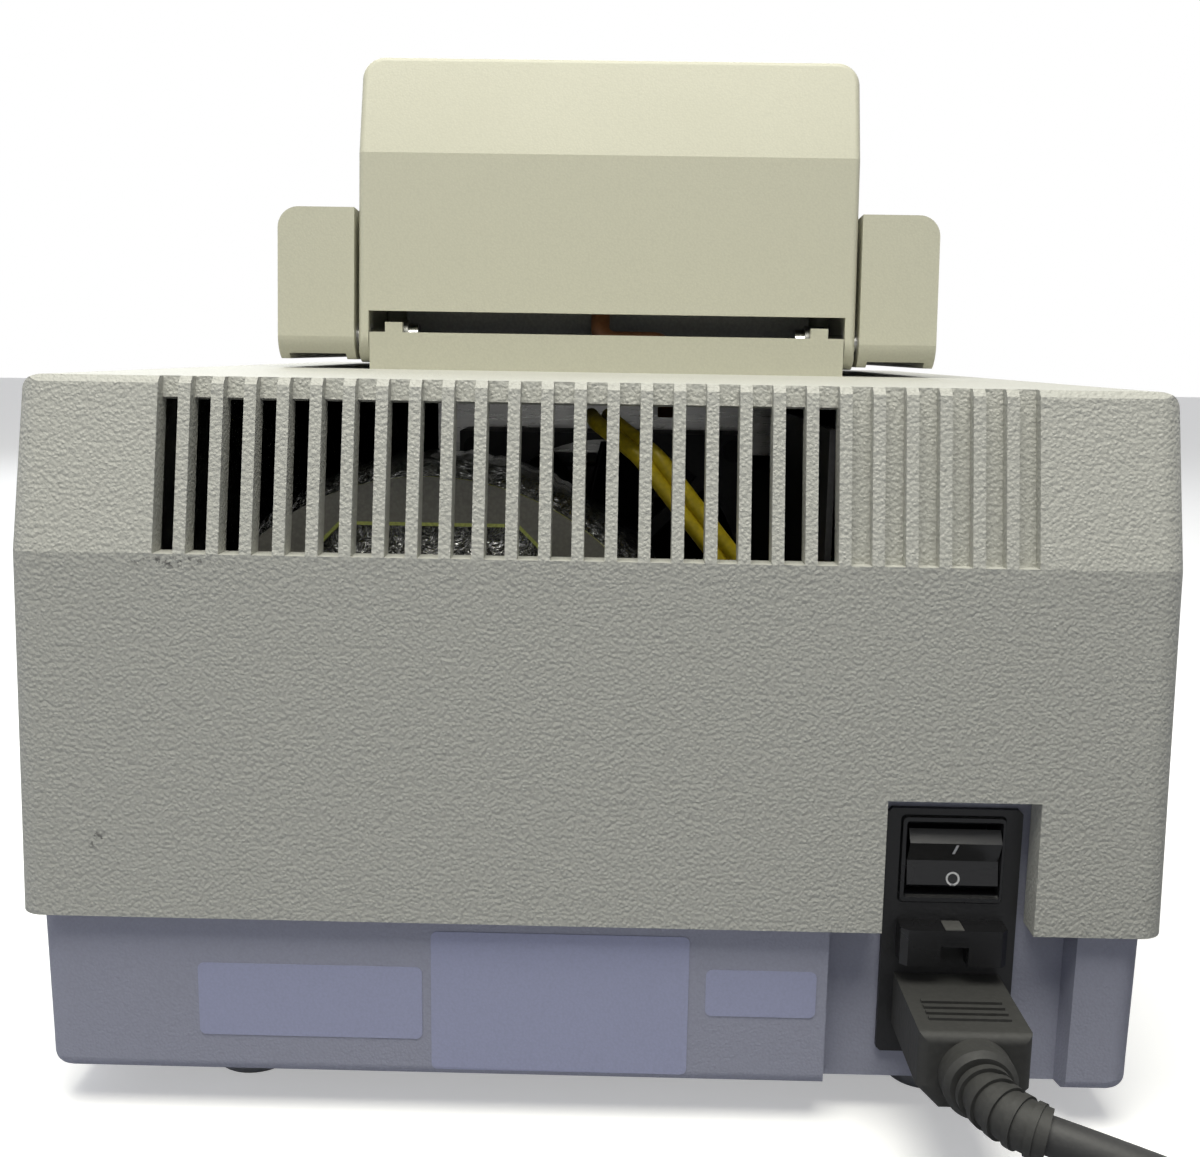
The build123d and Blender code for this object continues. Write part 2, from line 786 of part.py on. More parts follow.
def handle_bow():
    skin = handle_form(0)
    outer = handle_inner_x() + handle_width
    top = [e for e in skin.edges() if e.center().Z > deck_z + handle_front_height - 8]
    top = [e for e in top if abs(e.center().X) > outer - 6 or e.center().Y < handle_front_y + 1]
    top = [e for e in top if e.center().Y < lid_rear_y - 8]
    skin = fillet(top, handle_edge_radius)
    hollow = handle_form(lid_wall)
    body = skin - hollow
    floor_top = deck_z + handle_bottom + lid_wall + 0.5
    for sx in (1, -1):
        low, high = sorted((sx * (handle_inner_x() + lid_wall), sx * (outer - lid_wall)))
        body -= cuboid(low, high, -66, lid_rear_y - lid_wall, deck_z, floor_top)
        body -= cuboid(low, high, hinge_y, lid_rear_y + 2, deck_z, deck_z + handle_rear_edge)
        low, high = sorted((sx * (handle_inner_x() - 1), sx * (outer + 1)))
        corner = cuboid(low, high, hinge_y, lid_rear_y + 1, deck_z, hinge_z)
        body -= corner - rod_x(hinge_inset, low, high, hinge_y, hinge_z)
        low, high = sorted((sx * (handle_inner_x() - 1), sx * (handle_inner_x() + lid_wall + 1)))
        body -= rod_x(pin_radius + bush_wall, low, high, hinge_y, hinge_z)
    half = latch_slot()[0] / 2 - 6
    y = handle_front_y + handle_grip_depth / 2
    body -= cuboid(-half, half, y - 1.5, y + 1.5, deck_z, deck_z + handle_grip_bottom + lid_wall + 1)
    return body


def latch_blade():
    """A flat tongue under the grip, with a waist that the catch springs close on."""
    half = latch_slot()[0] / 2 - 6
    y = handle_front_y + handle_grip_depth / 2
    top = deck_z + handle_grip_bottom + lid_wall + 1
    body = cuboid(-half, half, y - 1.5, y + 1.5, deck_z - 8, top)
    body += cuboid(-half - 2, half + 2, y - 4, y + 4, top, top + 2)
    for sx in (1, -1):
        body -= rod_y(2.5, sx * (half + 1.2), y - 3, y + 3, deck_z - 4.5)
    return body


def latch_catch():
    """A cup under the deck with a rounded spring rib on each side of the blade."""
    half = latch_slot()[0] / 2
    y = handle_front_y + handle_grip_depth / 2
    body = cuboid(-half - 5, half + 5, y - 9.5, y + 9.5, deck_z - wall - 14, deck_z - wall)
    body -= cuboid(-half + 0.0, half - 0.0, y - 6, y + 6, deck_z - wall - 11, deck_z)
    for sx in (1, -1):
        low, high = sorted((sx * (half - 4.2), sx * (half + 0.5)))
        rib = cuboid(low, high, y - 6.5, y + 6.5, deck_z - 6.0, deck_z - wall)
        body += rib
    return body


# Sample block and cooling


def thermoblock():
    size_x, size_y = block_size()
    body = Pos(0, block_y, (block_top + block_bottom) / 2) * Box(size_x, size_y, block_height)
    well = Cone(well_bottom_radius, well_top_radius, well_depth)
    places = GridLocations(well_pitch, well_pitch, well_columns, well_rows)
    seat = Pos(0, block_y, block_top - well_depth / 2)
    wells = [seat * place * well for place in places]
    return body - wells


def block_frame():
    """The insulating collar that fills the gap between the block and the deck."""
    size_x, size_y = block_size()
    inner_x = size_x + 2 * frame_gap
    inner_y = size_y + 2 * frame_gap
    skirt = Box(inner_x + 2 * frame_wall, inner_y + 2 * frame_wall, wall + 4)
    body = Pos(0, block_y, deck_z - (wall + 4) / 2) * skirt
    flange = Box(inner_x + 2 * (frame_wall + frame_flange), inner_y + 2 * (frame_wall + frame_flange), frame_flange_height)
    body += Pos(0, block_y, deck_z + frame_flange_height / 2) * flange
    return body - Pos(0, block_y, deck_z) * Box(inner_x, inner_y, 40)


def peltier_modules():
    top = block_bottom
    modules = []
    for x, y in corners(peltier_size[0] / 2 + 2, peltier_size[1] / 2 + 2, block_y):
        modules.append(Pos(x, y, top - peltier_height / 2) * Box(peltier_size[0], peltier_size[1], peltier_height))
    return group(modules)


def sink_top():
    return block_bottom - peltier_height


def heat_sink():
    size_x, size_y, size_z = sink_size
    top = sink_top()
    body = Pos(0, block_y, top - size_z / 2) * Box(size_x, size_y, size_z)
    gap = (size_x - fin_count * fin_thickness) / (fin_count - 1)
    channels = []
    for index in range(fin_count - 1):
        x = -size_x / 2 + fin_thickness + gap / 2 + index * (fin_thickness + gap)
        channels.append(cuboid(x - gap / 2, x + gap / 2, block_y - size_y, block_y + size_y,
                               top - size_z - 1, top - sink_base))
    return body - channels


def sink_bracket(side):
    """A folded sheet leg that holds the heat sink's side up from the chassis."""
    size_x, size_y, size_z = sink_size
    top = sink_top()
    x0 = size_x / 2
    low, high = sorted((side * x0, side * (x0 + 2)))
    leg = cuboid(low, high, block_y - size_y / 2 + 8, block_y + size_y / 2 - 8, floor_z + chassis_thickness, top - 2)
    low, high = sorted((side * (x0 + 1), side * (x0 + 16)))
    leg += cuboid(low, high, block_y - size_y / 2 + 8, block_y + size_y / 2 - 8,
                  floor_z + chassis_thickness, floor_z + chassis_thickness + 2)
    return leg


def fan_centre_z():
    return sink_top() - sink_size[2] / 2


def fan_front_y():
    return block_y + sink_size[1] / 2 + duct_thickness


def air_duct():
    """The sheet plate that closes the heat sink's rear and carries the fan."""
    y0 = block_y + sink_size[1] / 2
    half = sink_size[0] / 2
    base = floor_z + chassis_thickness
    plate = cuboid(-half, half, y0, y0 + duct_thickness, base, sink_top())
    plate += cuboid(-half, half, y0, y0 + 14, base, base + duct_thickness)
    plate -= rod_y(fan_bore_radius, 0, y0 - 1, y0 + duct_thickness + 1, fan_centre_z())
    for x, z in corners(fan_size / 2 - 5, fan_size / 2 - 5, fan_centre_z()):
        plate -= rod_y(screw_radius + fit_gap, x, y0 - 1, y0 + duct_thickness + 1, z)
    return plate


def fan_frame():
    y0 = fan_front_y()
    z = fan_centre_z()
    body = cuboid(-fan_size / 2, fan_size / 2, y0, y0 + fan_depth, z - fan_size / 2, z + fan_size / 2)
    body -= rod_y(fan_bore_radius, 0, y0 - 1, y0 + fan_depth + 1, z)
    for strut in range(4):
        bar = cuboid(0, fan_bore_radius + 1, y0 + fan_depth - 4, y0 + fan_depth, -2, 2)
        body += Pos(0, 0, z) * Rot(0, 45 + 90 * strut, 0) * bar
    body += rod_y(fan_hub_radius, 0, y0 + fan_depth - 4, y0 + fan_depth, z)
    body += rod_y(4.0, 0, y0 + 8, y0 + fan_depth - 3, z)
    body -= rod_y(fan_shaft_radius + pin_fit, 0, y0 + 7, y0 + fan_depth - 2, z)
    for x, height in corners(fan_size / 2 - 5, fan_size / 2 - 5, z):
        body -= rod_y(screw_radius + fit_gap, x, y0 - 1, y0 + fan_depth + 1, height)
    return body


def fan_rotor():
    y0 = fan_front_y()
    z = fan_centre_z()
    low = y0 + 2.0
    high = y0 + fan_depth - 5.0
    hub = rod_y(fan_hub_radius, 0, low, high, z) - rod_y(fan_hub_radius - 2, 0, low + 2, high + 1, z)
    hub += rod_y(fan_shaft_radius, 0, low + 1, high, z)
    tip = fan_bore_radius - fan_tip_gap
    room = rod_y(tip, 0, low + 0.5, high - 0.5, z) - rod_y(fan_hub_radius - 1, 0, low, high, z)
    for index in range(fan_blades):
        blade = Pos((tip + fan_hub_radius) / 2, 0, 0) * Rot(fan_blade_pitch, 0, 0) * Box(tip - fan_hub_radius + 4, 1.6, 26)
        blade = Pos(0, (low + high) / 2, z) * Rot(0, index * 360 / fan_blades, 0) * blade
        hub += blade & room
    return hub


def fan_screw(x, z):
    y0 = block_y + sink_size[1] / 2 + duct_thickness
    head_y = y0 + fan_depth
    body = rod_y(screw_radius, x, y0 - duct_thickness + 0.5, head_y + 1, z)
    return body + rod_y(screw_head_radius - 0.5, x, head_y, head_y + 2.2, z)


# Transformer, standing on edge behind the grille


def toroid_front_y():
    return toroid_rear_y - toroid_width


def on_toroid(shape):
    return Pos(toroid_centre[0], 0, toroid_centre[1]) * shape


def ring_y(outer, inner, y0, y1):
    return rod_y(outer, 0, y0, y1, 0) - rod_y(inner, 0, y0 - 1, y1 + 1, 0)


def transformer_winding():
    low = toroid_front_y()
    section = Pos((toroid_radius + toroid_bore) / 2, (low + toroid_rear_y) / 2) * RectangleRounded(
        toroid_radius - toroid_bore, toroid_width, toroid_rounding)
    return on_toroid(revolve(section, axis=Axis.Y))


def transformer_disc():
    body = rod_y(disc_radius, 0, toroid_rear_y, toroid_rear_y + disc_thickness, 0)
    window = Plane.XZ * Rot(0, 0, 22.5) * RegularPolygon(window_across / 2, 8, major_radius=False)
    body -= extrude(Pos(0, toroid_rear_y + 5, 0) * window, amount=10)
    return on_toroid(body)


def transformer_washer():
    """A dished steel washer that the bolt pulls against the winding, inside the disc's window."""
    return on_toroid(ring_y(washer_radius, bolt_radius + fit_gap, toroid_rear_y, toroid_rear_y + 2.5))


def transformer_pad():
    low = toroid_front_y()
    return on_toroid(ring_y(toroid_radius - 6, bolt_radius + fit_gap, low - 3, low))


def transformer_bracket():
    """An upright steel plate with a foot, which the winding is bolted to."""
    y1 = toroid_front_y() - 3
    y0 = y1 - 3
    base = floor_z + chassis_thickness
    x, z = toroid_centre
    body = cuboid(x - 50, x + 50, y0, y1, base, z + 40)
    body += cuboid(x - 50, x + 50, y0 - 26, y0 + 1, base, base + 3)
    for sx in (1, -1):
        web = outline([(y0 + 1, base + 1), (y0 - 24, base + 1), (y0 + 1, z)])
        low, high = sorted((x + sx * 50, x + sx * 47))
        body += across(web, low, high)
    return body - rod_y(bolt_radius + fit_gap, x, y0 - 1, y1 + 1, z)


def transformer_bolt():
    low = toroid_front_y() - 3 - 3 - 6
    high = toroid_rear_y + 2.5
    body = rod_y(bolt_radius, 0, low, high + 1, 0)
    head = Plane.XZ * RegularPolygon(bolt_radius * 1.8, 6)
    body += extrude(Pos(0, high + 5, 0) * head, amount=5)
    body += extrude(Pos(0, low + 6, 0) * head, amount=5)
    return on_toroid(body)


# Power electronics


def power_shield():
    base = floor_z + chassis_thickness
    thickness, length, height = shield_size
    body = cuboid(shield_x - thickness, shield_x, shield_rear_y - length, shield_rear_y, base, base + height)
    return body + cuboid(shield_x - thickness, shield_x + 14, shield_rear_y - length, shield_rear_y, base, base + thickness)


def board_face_x():
    return shield_x - shield_size[0] - board_gap


def board_front_y():
    return shield_rear_y - shield_size[1] + 2


def power_board():
    x = board_face_x()
    y = board_front_y()
    body = cuboid(x - board_thickness, x, y, y + power_board_size[0],
                  power_board_bottom, power_board_bottom + power_board_size[1])
    for dy in (6, power_board_size[0] - 6):
        for dz in (6, power_board_size[1] - 6):
            body += rod_x(3, x - 0.5, shield_x - shield_size[0], y + dy, power_board_bottom + dz)
    return body


def power_board_parts():
    """Capacitors, a rectifier block, relays and a terminal strip on the board."""
    x = board_face_x() - board_thickness
    y = board_front_y()
    z = power_board_bottom
    parts = [rod_x(11, x - 32, x, y + 18, z + 22), rod_x(11, x - 32, x, y + 18, z + 48)]
    parts += [cuboid(x - 8, x, y + 38, y + 66, z + 14, z + 42)]
    parts += [cuboid(x - 16, x, y + 40, y + 58, z + 52 + 20 * step, z + 66 + 20 * step) for step in range(2)]
    parts += [cuboid(x - 12, x, y + 66, y + 76, z + 50, z + 88)]
    return group(parts)


def wire(points, radius, bend):
    path = FilletPolyline(*points, radius=bend)
    section = Plane(origin=path @ 0, z_dir=path % 0) * Circle(radius)
    return sweep(section, path=path)


def earth_wires():
    """Two yellow earth wires that cross behind the grille, from the shield to the bracket."""
    wires = []
    for index in range(2):
        shift = index * (2 * earth_wire_radius + 0.6)
        y = toroid_rear_y + 6.5
        points = [
            (shield_x + 2.5 + shift, y, 60),
            (shield_x + 3.5 + shift, y, 100),
            (-38 + shift, y, 126),
            (-14 + shift, y, 156),
            (-4 + shift, y - 10, 163),
            (-2 + shift, y - 45, 163),
        ]
        wires.append(wire(points, earth_wire_radius, 8.0))
    return group(wires)


# Inlet module with its rocker switch, fuse drawer and contact blades


def flange_face_y():
    return inlet_panel_y + flange_thickness


def pocket_box(centre_x, half_x, z0, z1, depth):
    face = flange_face_y()
    return cuboid(centre_x - half_x, centre_x + half_x, face - depth, face + 5, z0, z1)


def keyed_outline(size_x, size_z, key):
    """The connector's outline: a rectangle whose two lower corners are cut off."""
    half_x = size_x / 2
    half_z = size_z / 2
    points = [
        (-half_x, half_z),
        (half_x, half_z),
        (half_x, -half_z + key),
        (half_x - key, -half_z),
        (-half_x + key, -half_z),
        (-half_x, -half_z + key),
    ]
    return outline(points)


def keyed_block(size_x, size_z, key, y0, y1):
    shape = Pos(inlet_x, connector_z) * keyed_outline(size_x, size_z, key)
    return along(shape, y0, y1)


def rocker_room():
    """Half the height that the rocker sweeps, plus its clearance."""
    tilt = radians(rocker_tilt)
    return rocker_size[1] / 2 * cos(tilt) + 5.0 * sin(tilt) + slide_gap


def inlet_body():
    face = flange_face_y()
    half_x = inlet_width / 2
    body = cuboid(inlet_x - half_x, inlet_x + half_x, inlet_panel_y, face, inlet_bottom, inlet_bottom + inlet_height)
    body = chamfer(body.edges().filter_by(Axis.Y), 1.0)
    lip = flange_lip + slide_gap
    body += cuboid(inlet_x - half_x + lip, inlet_x + half_x - lip, face - inlet_body_depth, inlet_panel_y + 0.5,
                   inlet_bottom + lip, inlet_bottom + inlet_height - lip)
    room = rocker_room()
    body -= pocket_box(inlet_x, rocker_size[0] / 2 + slide_gap, rocker_z - room, rocker_z + room, 12)
    pivot_y = face - rocker_pivot_depth
    axle = rocker_size[0] / 2 + 1.4
    body -= rod_x(rocker_axle_radius + pin_fit, inlet_x - axle, inlet_x + axle, pivot_y, rocker_z)
    body -= pocket_box(inlet_x, drawer_size[0] / 2 - 1 + slide_gap, drawer_bottom + 0.5 - slide_gap,
                       drawer_bottom + drawer_size[1] - 0.5 + slide_gap, drawer_depth)
    body -= keyed_block(nose_size[0] + 2 * fit_gap, nose_size[1] + 2 * fit_gap, 4.0, face - nose_length - 1, face + 1)
    return body


def mains_rocker():
    """The rocker, resting with its lower half pressed in."""
    half = rocker_size[1] / 2
    ledge = 2.4
    profile = outline([(2.4, half), (5.0, half - ledge), (3.2, 0), (5.0, -half + ledge), (2.4, -half),
                       (-1.5, -half + 2), (-3.0, 0), (-1.5, half - 2)])
    body = across(profile, -rocker_size[0] / 2, rocker_size[0] / 2)
    axle = rocker_size[0] / 2 + 1.2
    body += rod_x(rocker_axle_radius, -axle, axle, 0, 0)
    pivot = (inlet_x, flange_face_y() - rocker_pivot_depth, rocker_z)
    return Pos(*pivot) * Rot(-rocker_tilt, 0, 0) * body


def fuse_drawer():
    face = flange_face_y()
    half_x = drawer_size[0] / 2
    top = drawer_bottom + drawer_size[1]
    grip = cuboid(inlet_x - half_x, inlet_x + half_x, face, face + drawer_grip, drawer_bottom, top)
    grip = chamfer(grip.edges().filter_by(Axis.Z).group_by(Axis.Y)[-1], 1.5)
    grip -= cuboid(inlet_x - 3.2, inlet_x + 3.2, face + 2, face + 10, drawer_bottom - 1, drawer_bottom + 5.0)
    tray = cuboid(inlet_x - half_x + 1, inlet_x + half_x - 1, face - drawer_depth + 0.5, face + 0.5,
                  drawer_bottom + 0.5, top - 0.5)
    for sx in (1, -1):
        x = inlet_x + sx * 5.6
        tray -= cuboid(x - fuse_radius - slide_gap, x + fuse_radius + slide_gap, face - drawer_depth + 2,
                       face - drawer_depth + 2.4 + fuse_length, drawer_bottom + 1.5, top)
    return grip + tray


def fuse(side):
    start = flange_face_y() - drawer_depth + 2.2
    return rod_y(fuse_radius, inlet_x + side * 5.6, start, start + fuse_length, drawer_bottom + 1.5 + fuse_radius)


def blade_places():
    """Line, neutral and earth contacts, from the connector's middle."""
    return [(-7.0, 1.5), (7.0, 1.5), (0.0, -2.5)]


def inlet_contacts():
    face = flange_face_y()
    blades = []
    for dx, dz in blade_places():
        x = inlet_x + dx
        z = connector_z + dz
        blades.append(cuboid(x - 1.0, x + 1.0, face - nose_length - 1, face - 2, z - 2, z + 2))
    return group(blades)


# Mains connector, its strain relief, the free lead, its coil and the plug


def connector():
    face = flange_face_y()
    back = face + connector_length
    body = keyed_block(connector_size[0], connector_size[1], 5.0, face, back)
    rear = body.edges().group_by(Axis.Y)[-1]
    body = fillet(rear, 2.0)
    body += keyed_block(nose_size[0], nose_size[1], 4.0, face - nose_length, face + 1)
    for dx, dz in blade_places():
        x = inlet_x + dx
        z = connector_z + dz
        body -= cuboid(x - 1.3, x + 1.3, face - nose_length - 1, face - 1.5, z - 2.3, z + 2.3)
    top = connector_z + connector_size[1] / 2
    for index in range(4):
        y = face + 14.4 + 2.6 * index
        body += cuboid(inlet_x - 9, inlet_x + 9, y - 0.6, y + 0.6, top - 0.5, top + 0.6)
    collar = rod_y(collar_radius, inlet_x, back - 1, back + collar_length, connector_z)
    collar = chamfer(collar.edges().sort_by(Axis.Y)[-1], 1.2)
    return body + collar


def relief_start():
    return Vector(inlet_x, flange_face_y() + connector_length + collar_length, connector_z)


def relief_frame():
    """The bend's plane: it starts along +Y and turns towards -X and a little down."""
    dip = radians(relief_dip)
    turn_to = Vector(-cos(dip), 0, -sin(dip))
    return turn_to


def relief_point(angle):
    """A point on the relief's bend, with the direction there."""
    turn_to = relief_frame()
    forward = Vector(0, 1, 0)
    a = radians(angle)
    point = relief_start() + forward * (relief_bend_radius * sin(a)) + turn_to * (relief_bend_radius * (1 - cos(a)))
    direction = forward * cos(a) + turn_to * sin(a)
    return point, direction


def strain_relief():
    """A ribbed rubber sleeve that bends with the lead."""
    middle = relief_point(relief_turn / 2)[0]
    end = relief_point(relief_turn)[0]
    path = ThreePointArc(relief_start(), middle, end)
    section = Plane(origin=path @ 0, z_dir=path % 0) * Circle(relief_radius - 0.9)
    body = sweep(section, path=path)
    for index in range(5):
        point, direction = relief_point(relief_turn * (0.1 + 0.19 * index))
        radius = relief_radius - 0.12 * index
        body += Plane(origin=point, z_dir=direction) * Cylinder(radius, 1.6)
    return body


def lead_points():
    """The free lead from the relief to the coil, chosen by hand."""
    start, direction = relief_point(relief_turn)
    x, y = coil_centre
    return [
        start,
        start + direction * 24,
        (x + 76.0, y + 63.5, 14.0),
        (x + 50.0, y + 60.5, 5.0),
        (x + 26.0, y + 57.0, cord_radius),
        (x + 2.0, y + coil_radii[-1], cord_radius),
    ]


def tail_points():
    """The last stretch, from the coil's upper turn to the plug."""
    x = coil_centre[0] - coil_radii[-1]
    return [
        (x, coil_centre[1] - 2, 12.0),
        (x - 0.4, coil_centre[1] - 24, 12.0),
        (x - 0.4, plug_y + 5, 12.0),
    ]


def bend_radii(points):
    """One radius for each inner point, as large as its two runs allow."""
    points = [Vector(*p) if isinstance(p, tuple) else p for p in points]
    radii = []
    for before, here, after in zip(points, points[1:], points[2:]):
        turn = (here - before).get_angle(after - here)
        run = min((here - before).length, (after - here).length)
        radii.append(0.45 * run / tan(radians(turn / 2)))
    return radii


def cord_tube(points):
    points = [Vector(*p) if isinstance(p, tuple) else p for p in points]
    radii = bend_radii(points)
    path = FilletPolyline(*points, radius=radii)
    section = Plane(origin=path @ 0, z_dir=path % 0) * Circle(cord_radius)
    tube = sweep(section, path=path)
    print("cord radii", [round(r, 1) for r in radii], "length", round(path.length, 1),
          "volume ratio", round(tube.volume / (path.length * pi * cord_radius ** 2), 4))
    return tube


def cord_coil():
    """The put-away length as the ring that its two layers of turns fill."""
    x, y = coil_centre
    height = 4 * cord_radius
    ring = rod_z(coil_radii[-1] + cord_radius, x, y, 0, height)
    return ring - rod_z(coil_radii[0] - cord_radius, x, y, -1, height + 1)


def plug_axis():
    return coil_centre[0] - coil_radii[-1] - 0.4


def mains_plug():
    x = plug_axis()
    width, height, length = plug_size
    front = plug_y - 14 - length
    neck = Plane.XZ.offset(-(plug_y - 14)) * Pos(x, height / 2) * RectangleRounded(16, 16, 5)
    middle = Plane.XZ.offset(-(plug_y - 14 - length / 2)) * Pos(x, height / 2) * RectangleRounded(width, height, 6)
    body = loft([neck, middle])
    body += along(Pos(x, height / 2) * RectangleRounded(width, height, 6), front, plug_y - 14 - length / 2)
    sleeve = Pos(x, plug_y - 4.5, height / 2) * Rot(-90, 0, 0) * Cone(7.0, 5.2, 19)
    return body + sleeve


def plug_blades():
    """Two flat blades and a round earth pin."""
    x = plug_axis()
    front = plug_y - 14 - plug_size[2]
    z = plug_size[1] / 2
    blades = [cuboid(x + sx * 6.35 - 0.75, x + sx * 6.35 + 0.75, front - 16, front, z - 1, z + 5.3) for sx in (1, -1)]
    blades.append(rod_y(2.4, x, front - 18, front, z - 6))
    return group(blades)


# Controls on the sloped front


def keypad_foil():
    """The membrane keypad: a foil with raised key caps, and its tail through the slope."""
    foil = on_slope(panel_recess, keypad_centre, Pos(0, 0, 0.3) * Box(keypad_size[0], keypad_size[1], 0.6))
    keys = []
    for row in range(4):
        for column in range(6):
            place = Pos(keypad_centre[0] + (column - 2.5) * 17.5, keypad_centre[1] + (1.5 - row) * 16, 0.85)
            keys.append(slope_plane(panel_recess).location * place * Box(13.5, 11.5, 0.6))
    for key in keys:
        foil += key
    return foil


def lcd_window():
    return on_slope(panel_recess, window_centre, Pos(0, 0, 0.5) * Box(window_size[0], window_size[1], 1.0))


def lcd_module():
    """The display: a glass in its steel bezel, under the window."""
    size = (window_size[0] + 6, window_size[1] + 8)
    return on_slope(wall + 1.2, window_centre, Pos(0, 0, -3.0) * Box(size[0], size[1], 6.0))


def control_board():
    board = Box(control_board_size[0], control_board_size[1], board_thickness)
    body = on_slope(control_board_depth, (0, 0), board)
    for x, y in corners(control_board_size[0] / 2 - 6, control_board_size[1] / 2 - 4):
        post = Pos(x, y, (control_board_depth - wall - 1) / 2) * Cylinder(3, control_board_depth - wall - 1)
        body += slope_plane(control_board_depth).location * post
    return body


# Everything is built and written here
save("upper_housing", upper_housing())
save("base_tray", base_tray())
save("feet", group(foot(x, y) for x, y in corners(foot_pitch_x / 2, foot_pitch_y / 2)))
save("foot_screws", group(screw(x, y, foot_height - 5, floor_z + 5)
                          for x, y in corners(foot_pitch_x / 2, foot_pitch_y / 2)))
save("housing_screws", group(screw(x, y, floor_z + 0.5, floor_z + post_height + lug_height - 4)
                             for x, y in corners(post_x, post_y)))
save("chassis_plate", chassis_plate())
save("hinge_rear_panel", hinge_rear_panel())
save("hinge_brackets", group(mirrored(hinge_bracket)))
save("hinge_pins", group(mirrored(hinge_pin)))
save("latch_catch", latch_catch())
save("lid_cover", lid_cover())
save("lid_inner_shell", lid_inner_shell())
save("lid_bushes", group(bush(side, lid_half() - lid_wall, lid_half()) for side in (1, -1)))
save("heated_plate", heated_plate())
mat_bottom = plate_bottom + plate_size[2]
save("heater_mat", drilled(plate_stack(mat_bottom, mat_bottom + mat_thickness, 3)))
save("heater_felt", drilled(plate_stack(mat_bottom + mat_thickness, mat_bottom + mat_thickness + felt_thickness, 4)))
save("guide_pins", group(guide_pin(x, y) for x, y in guide_points()))
save("pressure_springs", group(pressure_spring(x, y) for x, y in guide_points()))
save("lid_cable_lower", lid_cable_lower())
save("lid_cable_upper", lid_cable_upper())
save("handle_bow", handle_bow())
save("handle_bushes", group(bush(side, handle_inner_x(), handle_inner_x() + lid_wall) for side in (1, -1)))
save("latch_blade", latch_blade())
save("thermoblock", thermoblock())
save("block_frame", block_frame())
save("peltier_modules", peltier_modules())
save("heat_sink", heat_sink())
save("sink_brackets", group(mirrored(sink_bracket)))
save("air_duct", air_duct())
save("fan_frame", fan_frame())
save("fan_rotor", fan_rotor())
save("fan_screws", group(fan_screw(x, z) for x, z in corners(fan_size / 2 - 5, fan_size / 2 - 5, fan_centre_z())))
save("transformer_winding", transformer_winding())
save("transformer_disc", transformer_disc())
save("transformer_washer", transformer_washer())
save("transformer_pad", transformer_pad())
save("transformer_bracket", transformer_bracket())
save("transformer_bolt", transformer_bolt())
save("power_shield", power_shield())
save("power_board", power_board())
save("power_board_parts", power_board_parts())
save("earth_wires", earth_wires())
save("inlet_body", inlet_body())
save("inlet_contacts", inlet_contacts())
save("mains_rocker", mains_rocker())
save("fuse_drawer", fuse_drawer())
save("fuses", group(mirrored(fuse)))
save("connector", connector())
save("strain_relief", strain_relief())
save("cord_lead", cord_tube(lead_points()))
save("cord_coil", cord_coil())
save("cord_tail", cord_tube(tail_points()))
save("mains_plug", mains_plug())
save("plug_blades", plug_blades())
save("keypad_foil", keypad_foil())
save("lcd_window", lcd_window())
save("lcd_module", lcd_module())
save("control_board", control_board())
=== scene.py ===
import math
import random

import bmesh
import bpy
from mathutils import Matrix, Vector


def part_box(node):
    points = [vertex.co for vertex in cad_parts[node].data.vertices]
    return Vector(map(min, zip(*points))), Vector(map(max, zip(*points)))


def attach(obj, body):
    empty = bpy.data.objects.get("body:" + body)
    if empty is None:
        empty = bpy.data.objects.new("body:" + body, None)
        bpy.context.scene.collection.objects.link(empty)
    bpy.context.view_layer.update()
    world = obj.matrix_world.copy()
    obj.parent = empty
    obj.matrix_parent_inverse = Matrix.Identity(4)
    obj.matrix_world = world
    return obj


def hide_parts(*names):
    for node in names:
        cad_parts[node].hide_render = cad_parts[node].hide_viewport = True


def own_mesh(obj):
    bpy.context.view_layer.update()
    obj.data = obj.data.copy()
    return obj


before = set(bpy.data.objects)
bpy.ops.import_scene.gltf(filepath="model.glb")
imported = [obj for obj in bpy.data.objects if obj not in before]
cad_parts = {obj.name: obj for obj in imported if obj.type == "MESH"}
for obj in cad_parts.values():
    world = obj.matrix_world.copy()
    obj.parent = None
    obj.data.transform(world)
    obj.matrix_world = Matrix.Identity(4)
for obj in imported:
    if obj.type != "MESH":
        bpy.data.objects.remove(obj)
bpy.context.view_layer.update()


# Camera. The photograph was taken from behind the instrument, a little above its deck, with
# a short lens, so the camera stands there, 30 cm from the rear grille.
camera_place = (-0.0056, 0.4976, 0.1801)
camera_yaw = math.radians(0.83)
camera_pitch = math.radians(9.64)
camera_roll = math.radians(0.92)
lens_mm = 40.5

looking = Vector((math.sin(camera_yaw) * math.cos(camera_pitch),
                  -math.cos(camera_yaw) * math.cos(camera_pitch),
                  -math.sin(camera_pitch)))
camera_data = bpy.data.cameras.new("photo_camera")
camera_data.lens = lens_mm
camera_data.sensor_width = 36.0
camera_data.sensor_fit = "HORIZONTAL"
camera = bpy.data.objects.new("photo_camera", camera_data)
turn = looking.to_track_quat("-Z", "Y").to_matrix().to_4x4()
camera.matrix_world = Matrix.Translation(camera_place) @ turn @ Matrix.Rotation(camera_roll, 4, "Z")
bpy.context.collection.objects.link(camera)
bpy.context.scene.camera = camera


# Floor, light and backdrop. A plain pale table under soft studio lamps; the white behind it
# is only what the camera and the reflections see, so it adds no light to the instrument.
floor_colour = (0.86, 0.86, 0.86, 1)
floor_bounce = (0.33, 0.34, 0.38, 1)
floor_roughness = 0.7
seen_glow = 0.4
pure_white = (1, 1, 1, 1)
